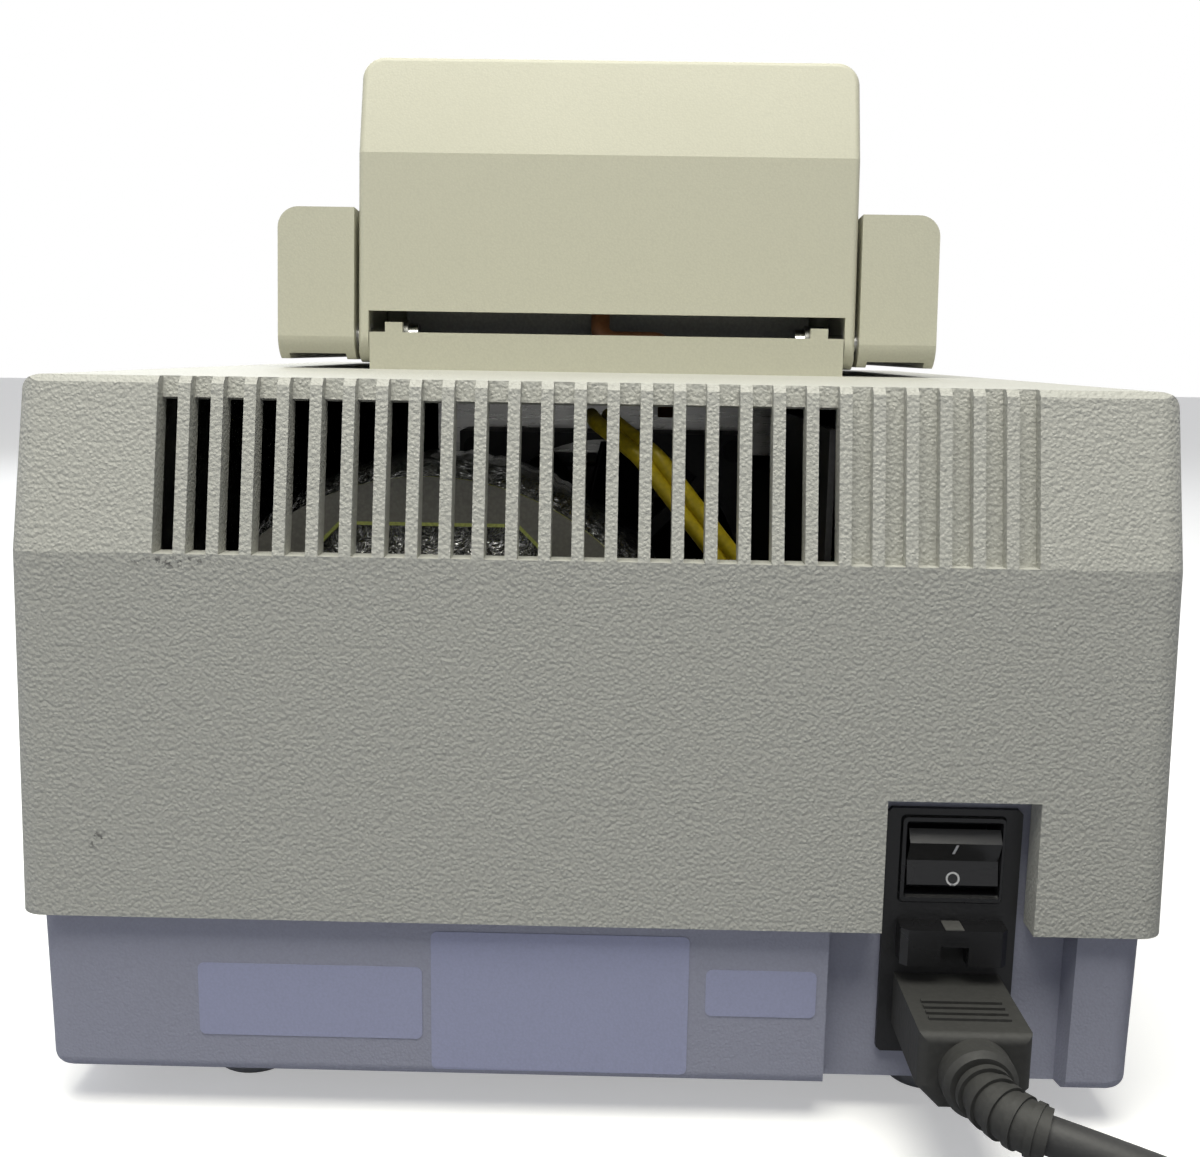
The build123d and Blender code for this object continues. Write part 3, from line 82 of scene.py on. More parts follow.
# Each lamp has its place, the point it aims at, its width in m, its watts and its tint.
lamps = {
    "overhead": ((0.05, 0.48, 1.30), (0.0, 0.15, 0.15), 0.9, 21.0, (1.0, 0.985, 0.89)),
    "behind_camera": ((-0.35, 1.45, 0.75), (0.0, 0.15, 0.12), 0.8, 0.3, (0.94, 0.97, 1.0)),
    "left": ((1.3, 0.5, 0.6), (0.0, 0.10, 0.12), 0.9, 1.6, (0.94, 0.97, 1.0)),
    "front": ((0.3, -1.2, 1.0), (0.0, -0.10, 0.12), 1.2, 8.0, (0.94, 0.97, 1.0)),
}
ambient = (0.092, 0.096, 0.108, 1)

half_floor = 6.0
floor_corners = [(-half_floor, -half_floor, 0), (half_floor, -half_floor, 0),
                 (half_floor, half_floor, 0), (-half_floor, half_floor, 0)]
floor_mesh = bpy.data.meshes.new("table_top")
floor_mesh.from_pydata(floor_corners, [], [(0, 1, 2, 3)])
floor = bpy.data.objects.new("table_top", floor_mesh)
bpy.context.collection.objects.link(floor)
floor_paint = bpy.data.materials.new("table_paint")
floor_paint.use_nodes = True
floor_shader = floor_paint.node_tree.nodes["Principled BSDF"]
floor_shader.inputs["Roughness"].default_value = floor_roughness
floor_rays = floor_paint.node_tree.nodes.new("ShaderNodeLightPath")
floor_mix = floor_paint.node_tree.nodes.new("ShaderNodeMix")
floor_mix.data_type = "RGBA"
floor_mix.inputs[6].default_value = floor_bounce
floor_mix.inputs[7].default_value = floor_colour
floor_paint.node_tree.links.new(floor_rays.outputs["Is Camera Ray"], floor_mix.inputs[0])
floor_paint.node_tree.links.new(floor_mix.outputs[2], floor_shader.inputs["Base Color"])
floor_glow = floor_paint.node_tree.nodes.new("ShaderNodeMath")
floor_glow.operation = "MULTIPLY"
floor_glow.inputs[1].default_value = seen_glow
floor_paint.node_tree.links.new(floor_rays.outputs["Is Camera Ray"], floor_glow.inputs[0])
floor_paint.node_tree.links.new(floor_glow.outputs[0], floor_shader.inputs["Emission Strength"])
floor_shader.inputs["Emission Color"].default_value = pure_white
floor_mesh.materials.append(floor_paint)

for lamp_name, (stand, aim, size, watts, tint) in lamps.items():
    lamp_data = bpy.data.lights.new(lamp_name, "AREA")
    lamp_data.size = size
    lamp_data.energy = watts
    lamp_data.color = tint
    lamp = bpy.data.objects.new(lamp_name, lamp_data)
    lamp.location = stand
    lamp.rotation_euler = (Vector(aim) - Vector(stand)).to_track_quat("-Z", "Y").to_euler()
    bpy.context.collection.objects.link(lamp)

world = bpy.data.worlds.new("studio")
bpy.context.scene.world = world
world.use_nodes = True
sky = world.node_tree
sky.nodes.clear()
rays = sky.nodes.new("ShaderNodeLightPath")
seen = sky.nodes.new("ShaderNodeMath")
seen.operation = "MAXIMUM"
seen_too = sky.nodes.new("ShaderNodeMath")
seen_too.operation = "MAXIMUM"
soft = sky.nodes.new("ShaderNodeBackground")
soft.inputs["Color"].default_value = ambient
white = sky.nodes.new("ShaderNodeBackground")
white.inputs["Color"].default_value = pure_white
either = sky.nodes.new("ShaderNodeMixShader")
sky_out = sky.nodes.new("ShaderNodeOutputWorld")
sky.links.new(rays.outputs["Is Camera Ray"], seen.inputs[0])
sky.links.new(rays.outputs["Is Glossy Ray"], seen.inputs[1])
sky.links.new(seen.outputs[0], seen_too.inputs[0])
sky.links.new(rays.outputs["Is Transmission Ray"], seen_too.inputs[1])
sky.links.new(seen_too.outputs[0], either.inputs["Fac"])
sky.links.new(soft.outputs[0], either.inputs[1])
sky.links.new(white.outputs[0], either.inputs[2])
sky.links.new(either.outputs[0], sky_out.inputs["Surface"])
bpy.context.scene.view_settings.view_transform = "Standard"


# Base tray and feet. The tray is moulded in a bluish grey plastic with a fine spark-eroded
# grain; four rubber feet are held to it by pan-head screws.
def shader_group(name, inputs, outputs):
    """A node group with named sockets, and its two end nodes."""
    tree = bpy.data.node_groups.new(name, "ShaderNodeTree")
    for label, kind, value in inputs:
        socket = tree.interface.new_socket(label, in_out="INPUT", socket_type=kind)
        socket.default_value = value
    for label, kind in outputs:
        tree.interface.new_socket(label, in_out="OUTPUT", socket_type=kind)
    return tree, tree.nodes.new("NodeGroupInput"), tree.nodes.new("NodeGroupOutput")


def add(tree, kind, links=(), **values):
    """A node with its settings, input values and incoming links."""
    node = tree.nodes.new(kind)
    for key, value in values.items():
        if hasattr(node, key):
            setattr(node, key, value)
        else:
            node.inputs[key.replace("_", " ")].default_value = value
    for source, target in links:
        tree.links.new(source, node.inputs[target])
    return node


def mix_colour(tree, factor, low, high):
    """A colour between two, by a factor."""
    node = tree.nodes.new("ShaderNodeMix")
    node.data_type = "RGBA"
    for source, target in ((factor, 0), (low, 6), (high, 7)):
        if isinstance(source, bpy.types.NodeSocket):
            tree.links.new(source, node.inputs[target])
        else:
            node.inputs[target].default_value = source
    return node.outputs[2]


soil_roughening = 0.4
moulding, moulding_in, moulding_out = shader_group(
    "moulded_grain",
    [("Colour", "NodeSocketColor", (0.6, 0.6, 0.6, 1)), ("Pit Colour", "NodeSocketColor", (0.4, 0.4, 0.4, 1)),
     ("Grain", "NodeSocketFloat", 600.0), ("Depth", "NodeSocketFloat", 0.0002),
     ("Roughness", "NodeSocketFloat", 0.5), ("Soiling", "NodeSocketFloat", 0.1)],
    [("Colour", "NodeSocketColor"), ("Roughness", "NodeSocketFloat"), ("Normal", "NodeSocketVector")])
grain_place = add(moulding, "ShaderNodeTexCoord").outputs["Object"]
wander = add(moulding, "ShaderNodeTexNoise",
             [(grain_place, "Vector"), (moulding_in.outputs["Grain"], "Scale")],
             Detail=3.0, Roughness=0.6, Distortion=0.6)
cells = add(moulding, "ShaderNodeTexVoronoi",
            [(grain_place, "Vector"), (moulding_in.outputs["Grain"], "Scale")],
            feature="SMOOTH_F1", Smoothness=0.6)
relief = add(moulding, "ShaderNodeMath",
             [(wander.outputs["Fac"], 0), (cells.outputs["Distance"], 1)], operation="SUBTRACT")
bump = add(moulding, "ShaderNodeBump",
           [(relief.outputs[0], "Height"), (moulding_in.outputs["Depth"], "Distance")], Strength=1.0)
grain_mask = add(moulding, "ShaderNodeMapRange", [(relief.outputs[0], "Value")], From_Min=-0.3, From_Max=0.35)
grained = mix_colour(moulding, grain_mask.outputs[0],
                     moulding_in.outputs["Pit Colour"], moulding_in.outputs["Colour"])
smudge = add(moulding, "ShaderNodeTexNoise", [(grain_place, "Vector")],
             Scale=14.0, Detail=5.0, Roughness=0.65)
smudge_mask = add(moulding, "ShaderNodeMapRange", [(smudge.outputs["Fac"], "Value")],
                  From_Min=0.45, From_Max=0.8)
soiled = add(moulding, "ShaderNodeMath",
             [(smudge_mask.outputs[0], 0), (moulding_in.outputs["Soiling"], 1)], operation="MULTIPLY")
soiled_colour = mix_colour(moulding, soiled.outputs[0], grained, moulding_in.outputs["Pit Colour"])
rough = add(moulding, "ShaderNodeMath",
            [(soiled.outputs[0], 0), (moulding_in.outputs["Roughness"], 2)], operation="MULTIPLY_ADD")
rough.inputs[1].default_value = soil_roughening
moulding.links.new(soiled_colour, moulding_out.inputs["Colour"])
moulding.links.new(rough.outputs[0], moulding_out.inputs["Roughness"])
moulding.links.new(bump.outputs[0], moulding_out.inputs["Normal"])


def finish_with(tree, name, values, **shader_values):
    """A material whose surface comes from a shader group, with constants on its shader."""
    material = bpy.data.materials.new(name)
    material.use_nodes = True
    nodes = material.node_tree
    shader = nodes.nodes["Principled BSDF"]
    surface = nodes.nodes.new("ShaderNodeGroup")
    surface.node_tree = tree
    for label, value in values.items():
        surface.inputs[label].default_value = value
    nodes.links.new(surface.outputs["Colour"], shader.inputs["Base Color"])
    nodes.links.new(surface.outputs["Roughness"], shader.inputs["Roughness"])
    nodes.links.new(surface.outputs["Normal"], shader.inputs["Normal"])
    for label, value in shader_values.items():
        shader.inputs[label.replace("_", " ")].default_value = value
    return material


def moulded(name, colour, grain, depth, roughness, pits=0.8, soiling=0.15, **shader_values):
    """A moulded plastic or rubber, its pits a shade darker than its face."""
    pit_colour = tuple(pits * channel for channel in colour) + (1,)
    values = {"Colour": colour + (1,), "Pit Colour": pit_colour, "Grain": grain, "Depth": depth,
              "Roughness": roughness, "Soiling": soiling}
    return finish_with(moulding, name, values, **shader_values)


def refinish(material, *names):
    """CAD nodes keep their shape and get this finish."""
    for name in names:
        for material_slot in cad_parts[name].material_slots:
            material_slot.material = material


base_plastic = moulded("base_plastic", (0.36, 0.37, 0.46), 1500.0, 0.00008, 0.55, pits=0.93)
foot_rubber = moulded("foot_rubber", (0.36, 0.36, 0.37), 500.0, 0.00005, 0.75)
refinish(base_plastic, "base_tray")
refinish(foot_rubber, "feet", "transformer_pad")


# Screws and other steel. Zinc-plated screws with a fine lathe grain, darker passivated
# brackets, ground hinge pins, and the painted duct of the cooling; the fan screws and the sink
# brackets behind the grille are made near black, painted shade for the dark inside.
line_roughening = 0.18
metal, metal_in, metal_out = shader_group(
    "worked_metal",
    [("Colour", "NodeSocketColor", (0.6, 0.6, 0.6, 1)), ("Stretch", "NodeSocketVector", (1.0, 1.0, 1.0)),
     ("Lines", "NodeSocketFloat", 800.0), ("Roughness", "NodeSocketFloat", 0.3),
     ("Depth", "NodeSocketFloat", 0.00003)],
    [("Colour", "NodeSocketColor"), ("Roughness", "NodeSocketFloat"), ("Normal", "NodeSocketVector")])
metal_place = add(metal, "ShaderNodeTexCoord")
metal_stretch = add(metal, "ShaderNodeVectorMath",
                    [(metal_place.outputs["Object"], 0), (metal_in.outputs["Stretch"], 1)],
                    operation="MULTIPLY")
metal_lines = add(metal, "ShaderNodeTexNoise",
                  [(metal_stretch.outputs[0], "Vector"), (metal_in.outputs["Lines"], "Scale")],
                  Detail=4.0, Roughness=0.7)
metal_bump = add(metal, "ShaderNodeBump",
                 [(metal_lines.outputs["Fac"], "Height"), (metal_in.outputs["Depth"], "Distance")])
metal_rough = add(metal, "ShaderNodeMath",
                  [(metal_lines.outputs["Fac"], 0), (metal_in.outputs["Roughness"], 2)],
                  operation="MULTIPLY_ADD")
metal_rough.inputs[1].default_value = line_roughening
metal_dark = add(metal, "ShaderNodeMapRange", [(metal_lines.outputs["Fac"], "Value")],
                 From_Min=0.2, From_Max=0.8, To_Min=0.82, To_Max=1.0)
metal_tint = add(metal, "ShaderNodeVectorMath", [(metal_in.outputs["Colour"], 0)], operation="SCALE")
metal.links.new(metal_dark.outputs[0], metal_tint.inputs["Scale"])
metal.links.new(metal_tint.outputs[0], metal_out.inputs["Colour"])
metal.links.new(metal_rough.outputs[0], metal_out.inputs["Roughness"])
metal.links.new(metal_bump.outputs[0], metal_out.inputs["Normal"])


def worked(name, colour, stretch=(1.0, 1.0, 1.0), lines=800.0, roughness=0.25, metallic=1.0, **shader_values):
    """A metal whose tool lines run along the axis that is stretched least."""
    values = {"Colour": colour + (1,), "Stretch": stretch, "Lines": lines, "Roughness": roughness}
    return finish_with(metal, name, values, Metallic=metallic, **shader_values)


zinc_plate = worked("zinc_plate", (0.62, 0.62, 0.60))
dark_steel = worked("passivated_steel", (0.20, 0.20, 0.19), stretch=(1.0, 1.0, 0.1), roughness=0.3)
pin_steel = worked("ground_steel", (0.60, 0.60, 0.61), stretch=(0.1, 1.0, 1.0), roughness=0.12)
sheet_metal = worked("rolled_aluminium", (0.66, 0.67, 0.68), stretch=(0.1, 1.0, 1.0), lines=1200.0)
spring_steel = worked("blued_spring_steel", (0.38, 0.38, 0.42), roughness=0.2)
black_steel_painted_shade = worked("near_black_steel_painted_shade", (0.04, 0.04, 0.042), roughness=0.45)
refinish(zinc_plate, "foot_screws", "housing_screws", "transformer_bolt")
# The fan screws are near black as painted shade for the dark inside behind the grille.
refinish(black_steel_painted_shade, "fan_screws")
refinish(dark_steel, "hinge_brackets", "transformer_washer", "transformer_bracket", "latch_blade")
refinish(pin_steel, "hinge_pins", "guide_pins")
refinish(sheet_metal, "chassis_plate")
# The duct is painted black; its sink brackets get the same near black as painted shade for the dark inside.
duct_black_and_painted_shade = moulded("duct_black_and_painted_shade", (0.02, 0.02, 0.021), 900.0, 0.00003, 0.6)
refinish(duct_black_and_painted_shade, "air_duct", "sink_brackets")


# Upper housing. One moulded shell in warm light grey with a coarse leather-like grain, and
# with two spots under the grille and low on its left where it is scuffed.
housing_plastic = moulded("housing_plastic", (0.50, 0.50, 0.46), 1150.0, 0.00024, 0.5,
                          pits=0.92, soiling=0.12)
refinish(housing_plastic, "upper_housing")

scuffs = [((0.0925, 0.2062, 0.1325), (0.012, 0.01, 0.0016)),
          ((0.112, 0.2068, 0.0685), (0.0028, 0.01, 0.0026))]
scuff_colour = (0.07, 0.068, 0.065, 1)
scuff_amount = 0.75
wall_nodes = housing_plastic.node_tree
wall_surface = next(node for node in wall_nodes.nodes if node.type == "GROUP")
wall_shader = wall_nodes.nodes["Principled BSDF"]
wall_place = add(wall_nodes, "ShaderNodeTexCoord").outputs["Object"]
wall_specks = add(wall_nodes, "ShaderNodeTexNoise", [(wall_place, "Vector")], Scale=900.0, Detail=3.0)
wall_speck_mask = add(wall_nodes, "ShaderNodeMapRange", [(wall_specks.outputs["Fac"], "Value")],
                      From_Min=0.52, From_Max=0.62)
wall_colour = wall_surface.outputs["Colour"]
for scuff_centre, scuff_size in scuffs:
    away = add(wall_nodes, "ShaderNodeVectorMath", [(wall_place, 0)], operation="SUBTRACT")
    away.inputs[1].default_value = scuff_centre
    spread = add(wall_nodes, "ShaderNodeVectorMath", [(away.outputs[0], 0)], operation="DIVIDE")
    spread.inputs[1].default_value = scuff_size
    distance = add(wall_nodes, "ShaderNodeVectorMath", [(spread.outputs[0], 0)], operation="LENGTH")
    spot = add(wall_nodes, "ShaderNodeMapRange", [(distance.outputs["Value"], "Value")],
               From_Min=1.0, From_Max=0.5, To_Min=0.0, To_Max=scuff_amount)
    rubbed = add(wall_nodes, "ShaderNodeMath",
                 [(spot.outputs[0], 0), (wall_speck_mask.outputs[0], 1)], operation="MULTIPLY")
    wall_colour = mix_colour(wall_nodes, rubbed.outputs[0], wall_colour, scuff_colour)
wall_nodes.links.new(wall_colour, wall_shader.inputs["Base Color"])


# Hinge panel, lid and bow handle. Smoother cream mouldings that have yellowed a little, with
# only the slightest grain.
lid_plastic = moulded("lid_plastic", (0.57, 0.56, 0.45), 1500.0, 0.00002, 0.42, pits=0.94, soiling=0.25)
bush_plastic = moulded("acetal", (0.72, 0.71, 0.66), 900.0, 0.00001, 0.4)
catch_plastic = moulded("black_catch_plastic", (0.03, 0.03, 0.032), 900.0, 0.00003, 0.45)
tray_plastic = moulded("lid_tray_plastic", (0.36, 0.36, 0.34), 1100.0, 0.00003, 0.5)
cable_silicone = moulded("brown_silicone", (0.22, 0.09, 0.035), 700.0, 0.00004, 0.55)
refinish(lid_plastic, "hinge_rear_panel", "lid_cover", "handle_bow")
refinish(bush_plastic, "lid_bushes", "handle_bushes")
refinish(catch_plastic, "latch_catch", "fan_frame", "fan_rotor")
refinish(tray_plastic, "lid_inner_shell")
refinish(cable_silicone, "lid_cable_lower", "lid_cable_upper")


# Heated plate. Anodised aluminium with a silicone heater mat stuck on it and a felt pad over
# the mat; it floats in the lid on headed pins and spring washers.
plate_metal = worked("anodised_plate", (0.55, 0.56, 0.57), stretch=(1.0, 0.08, 1.0), roughness=0.32)
heater_silicone = moulded("orange_silicone", (0.45, 0.11, 0.03), 1400.0, 0.00006, 0.6)
felt = moulded("mineral_felt", (0.72, 0.70, 0.63), 2200.0, 0.0003, 0.95, pits=0.6)
refinish(plate_metal, "heated_plate")
refinish(heater_silicone, "heater_mat")
refinish(felt, "heater_felt")

merge_distance = 0.000001
washer_mesh = bmesh.new()
washer_mesh.from_mesh(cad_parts["pressure_springs"].data)
bmesh.ops.remove_doubles(washer_mesh, verts=washer_mesh.verts, dist=merge_distance)
bmesh.ops.recalc_face_normals(washer_mesh, faces=washer_mesh.faces)
spring_data = bpy.data.meshes.new("spring_washers")
washer_mesh.to_mesh(spring_data)
washer_mesh.free()
spring_data.materials.clear()
spring_data.materials.append(spring_steel)
spring_washers = bpy.data.objects.new("spring_washers", spring_data)
bpy.context.collection.objects.link(spring_washers)
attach(spring_washers, "lid")
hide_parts("pressure_springs")
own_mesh(spring_washers)


# Sample block and its cooling. A silver-coated block with 96 tapered wells in a grey frame,
# on ceramic Peltier modules and a milled heat sink with a fan behind it.
block_silver = worked("silvered_block", (0.78, 0.77, 0.74), stretch=(0.06, 1.0, 1.0),
                      lines=1500.0, roughness=0.2)
sink_metal = worked("black_anodised_sink", (0.05, 0.05, 0.052), stretch=(1.0, 0.05, 1.0),
                    lines=900.0, roughness=0.35)
frame_plastic = moulded("block_frame_plastic", (0.20, 0.21, 0.22), 1200.0, 0.00004, 0.5)
ceramic = moulded("alumina_ceramic", (0.80, 0.80, 0.78), 1800.0, 0.00002, 0.5, pits=0.92)
refinish(block_silver, "thermoblock")
refinish(sink_metal, "heat_sink")
refinish(frame_plastic, "block_frame")
refinish(ceramic, "peltier_modules")


# Toroidal transformer. The winding is wrapped round and round its ring in clear glossy film
# over dark tape, so the film lies in creased pleats that run across the ring. The creases are
# painted near white, a painted highlight along each crinkle.
toroid_centre = (0.0395, 0.088)
ring_radius = 0.045
section_half = (0.021, 0.026)
section_rounding = 0.014
section_middle_y = 0.155
level_limit = 0.02
pleat_depth = 0.0011
pleat_waves = 41
crease_waves = 2.63 * pleat_waves
slow_waves = 7
wave_share, crease_share, slow_share = 0.28, 0.16, 0.06
around = 460
along_section = 56

film_random = random.Random(7)
pleat_shift = [film_random.uniform(0, 2 * math.pi) for _ in range(4)]


def section_point(step):
    """A point of the rounded section, outwards from the ring's middle line and along Y."""
    angle = 2 * math.pi * step / along_section
    square = (section_half[0] - section_rounding, section_half[1] - section_rounding)
    corner = (math.copysign(square[0], math.cos(angle)), math.copysign(square[1], math.sin(angle)))
    reach = (math.cos(angle), math.sin(angle))
    if abs(reach[0]) < level_limit:
        corner = (0.0, corner[1])
    if abs(reach[1]) < level_limit:
        corner = (corner[0], 0.0)
    return corner, reach


def pleat(turn, step):
    """How far the film lies under its highest pleats, from 0 to 1."""
    across_film = 2 * math.pi * step / along_section
    wave = math.sin(pleat_waves * turn + 1.4 * math.sin(across_film + pleat_shift[0]) + pleat_shift[1])
    crease = math.sin(crease_waves * turn + 2.1 * math.sin(2 * across_film + pleat_shift[2]))
    slow = math.sin(slow_waves * turn + across_film + pleat_shift[3])
    return 0.5 - wave_share * wave - crease_share * crease - slow_share * slow


film_mesh = bmesh.new()
film_rings = []
for index in range(around):
    turn_angle = 2 * math.pi * index / around
    ring = []
    for step in range(along_section):
        corner, reach = section_point(step)
        rounding = section_rounding - pleat_depth * pleat(turn_angle, step)
        radius = ring_radius + corner[0] + reach[0] * rounding
        y = section_middle_y + corner[1] + reach[1] * rounding
        ring.append(film_mesh.verts.new((toroid_centre[0] + radius * math.cos(turn_angle), y,
                                         toroid_centre[1] + radius * math.sin(turn_angle))))
    film_rings.append(ring)
for index in range(around):
    here, there = film_rings[index], film_rings[(index + 1) % around]
    for step in range(along_section):
        after = (step + 1) % along_section
        film_mesh.faces.new((here[step], here[after], there[after], there[step]))
bmesh.ops.recalc_face_normals(film_mesh, faces=film_mesh.faces)


def piece(name, mesh, material, body, smooth=True):
    """A piece made from a mesh being built, which moves with a body."""
    data = bpy.data.meshes.new(name)
    mesh.to_mesh(data)
    mesh.free()
    data.materials.append(material)
    if smooth:
        data.shade_smooth()
    else:
        data.shade_flat()
    made = bpy.data.objects.new(name, data)
    bpy.context.collection.objects.link(made)
    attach(made, body)
    return made


film, film_in, film_out = shader_group(
    "creased_film",
    [("Colour", "NodeSocketColor", (0.05, 0.05, 0.05, 1)),
     ("Crease Colour", "NodeSocketColor", (0.3, 0.3, 0.3, 1)),
     ("Creases", "NodeSocketFloat", 260.0), ("Depth", "NodeSocketFloat", 0.0006)],
    [("Colour", "NodeSocketColor"), ("Roughness", "NodeSocketFloat"), ("Normal", "NodeSocketVector")])
film_place = add(film, "ShaderNodeTexCoord")
film_noise = add(film, "ShaderNodeTexNoise",
                 [(film_place.outputs["Object"], "Vector"), (film_in.outputs["Creases"], "Scale")],
                 Detail=2.0, Roughness=0.5, Distortion=1.6)
film_folds = add(film, "ShaderNodeTexVoronoi", [(film_noise.outputs["Color"], "Vector")], Scale=7.0)
film_bump = add(film, "ShaderNodeBump",
                [(film_folds.outputs["Distance"], "Height"), (film_in.outputs["Depth"], "Distance")])
# The fold lines get the light crease colour: a painted highlight along the film's crinkles.
crease_highlight_mask = add(film, "ShaderNodeMapRange", [(film_folds.outputs["Distance"], "Value")],
                From_Min=0.35, From_Max=0.8)
film_colour_with_highlights = mix_colour(film, crease_highlight_mask.outputs[0],
                       film_in.outputs["Colour"], film_in.outputs["Crease Colour"])
film_rough = add(film, "ShaderNodeMapRange", [(film_noise.outputs["Fac"], "Value")],
                 To_Min=0.03, To_Max=0.2)
film.links.new(film_colour_with_highlights, film_out.inputs["Colour"])
film.links.new(film_rough.outputs[0], film_out.inputs["Roughness"])
film.links.new(film_bump.outputs[0], film_out.inputs["Normal"])
film_material = finish_with(film, "wrapping_film",
                            {"Colour": (0.30, 0.30, 0.29, 1), "Crease Colour": (0.85, 0.85, 0.84, 1)},
                            Metallic=0.9, Coat_Weight=0.5, Coat_Roughness=0.05)
wrapped_winding = piece("wrapped_winding", film_mesh, film_material, "root")
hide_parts("transformer_winding")


# Transformer's clamping disc. Pressed insulating board in dull grey; its punched edges are
# painted yellow-green as a painted highlight.
disc_face = (0.33, 0.32, 0.29, 1)
disc_edge_highlight = (0.52, 0.55, 0.12, 1)
disc_board = moulded("disc_board", disc_face[:3], 1200.0, 0.00003, 0.5)
disc_nodes = disc_board.node_tree
disc_surface = next(node for node in disc_nodes.nodes if node.type == "GROUP")
disc_shader = disc_nodes.nodes["Principled BSDF"]
# Faces turned away from Y get the yellow-green: a painted highlight on the punched edges.
facing = add(disc_nodes, "ShaderNodeNewGeometry")
facing_y = add(disc_nodes, "ShaderNodeSeparateXYZ", [(facing.outputs["Normal"], "Vector")])
flatness = add(disc_nodes, "ShaderNodeMath", [(facing_y.outputs["Y"], 0)], operation="ABSOLUTE")
edge_highlight_colour = mix_colour(disc_nodes, flatness.outputs[0], disc_edge_highlight, disc_surface.outputs["Colour"])
disc_nodes.links.new(edge_highlight_colour, disc_shader.inputs["Base Color"])
refinish(disc_board, "transformer_disc")

# A thin bright yellow-green strip laid on the disc's face round the octagonal window: a painted highlight
# along its rim.
window_sides = 8
window_reach = 0.0505
edge_line = 0.0007
edge_profile = ((window_reach + edge_line, 0.00005), (window_reach - 0.0001, 0.0002),
                (window_reach - 0.0002, -0.001))
half_side = math.pi / window_sides
disc_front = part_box("transformer_disc")[1][1]
edge_highlight_paint = moulded("painted_edge_highlight", (0.60, 0.66, 0.16), 2000.0, 0.00001, 0.4, pits=0.7,
                    Specular_IOR_Level=0.6)
window_mesh = bmesh.new()
window_rings = []
for reach, height in edge_profile:
    corner_radius = reach / math.cos(half_side)
    corner_turns = [half_side * (2 * k + 1) for k in range(window_sides)]
    window_rings.append([window_mesh.verts.new((toroid_centre[0] + corner_radius * math.cos(angle),
                                                disc_front + height,
                                                toroid_centre[1] + corner_radius * math.sin(angle)))
                         for angle in corner_turns])
for outer_ring, inner_ring in zip(window_rings, window_rings[1:]):
    for k in range(window_sides):
        after = (k + 1) % window_sides
        window_mesh.faces.new((outer_ring[k], inner_ring[k], inner_ring[after], outer_ring[after]))
bmesh.ops.recalc_face_normals(window_mesh, faces=window_mesh.faces)
window_mesh.faces.ensure_lookup_table()
if window_mesh.faces[0].normal.y < 0:
    bmesh.ops.reverse_faces(window_mesh, faces=window_mesh.faces)
window_edge = piece("disc_window_highlight", window_mesh, edge_highlight_paint, "root", smooth=False)


# Power electronics and wires. A dark sheet-metal shield carries the green board, with black
# capacitors and relays; two yellow earth wires cross behind the grille.
shield_paint = moulded("shield_paint", (0.07, 0.07, 0.072), 900.0, 0.00003, 0.5)
board_resist = moulded("solder_resist", (0.03, 0.16, 0.06), 500.0, 0.00005, 0.3, pits=0.6, soiling=0.3)
part_epoxy = moulded("part_epoxy", (0.02, 0.02, 0.022), 900.0, 0.00003, 0.35)
earth_yellow = moulded("earth_wire_yellow", (0.72, 0.55, 0.02), 900.0, 0.00003, 0.35)
refinish(shield_paint, "power_shield")
refinish(board_resist, "power_board", "control_board")
refinish(part_epoxy, "power_board_parts")
refinish(earth_yellow, "earth_wires")


# Mains inlet. A black moulded module with a semi-gloss rocker and fuse drawer; the contacts
# are nickel-plated brass and the fuses are glass tubes.
inlet_plastic = moulded("inlet_plastic", (0.008, 0.008, 0.009), 900.0, 0.00004, 0.42)
rocker_plastic = moulded("rocker_plastic", (0.010, 0.010, 0.011), 1500.0, 0.00001, 0.25)
contact_metal = worked("plated_brass", (0.68, 0.64, 0.50), stretch=(1.0, 0.1, 1.0), roughness=0.2)
fuse_glass = moulded("fuse_glass", (0.75, 0.78, 0.78), 600.0, 0.00001, 0.1,
                     Transmission_Weight=0.6, IOR=1.5)
refinish(inlet_plastic, "inlet_body")
refinish(rocker_plastic, "mains_rocker", "fuse_drawer")
refinish(contact_metal, "inlet_contacts", "plug_blades")
refinish(fuse_glass, "fuses")

inlet_face = 0.1995
bezel_outer = (-0.0957, -0.0715, 0.0545, 0.0758)
bezel_inner = (-0.0946, -0.0732, 0.0565, 0.0739)
bezel_height = 0.0007
bezel_corner = 0.0012
bezel_inner_corner = 0.4 * bezel_corner
bezel_profile = ((0.0, 0.0), (0.25, bezel_height), (0.75, bezel_height), (1.0, 0.0))


def rounded_outline(x0, x1, z0, z1, corner, y, steps=5):
    """The outline of a rectangle with rounded corners, seen from behind."""
    outline = []
    for cx, cz, start in ((x1 - corner, z1 - corner, 0), (x0 + corner, z1 - corner, 90),
                          (x0 + corner, z0 + corner, 180), (x1 - corner, z0 + corner, 270)):
        for step in range(steps + 1):
            angle = math.radians(start + 90 * step / steps)
            outline.append((cx + corner * math.cos(angle), y, cz + corner * math.sin(angle)))
    return outline


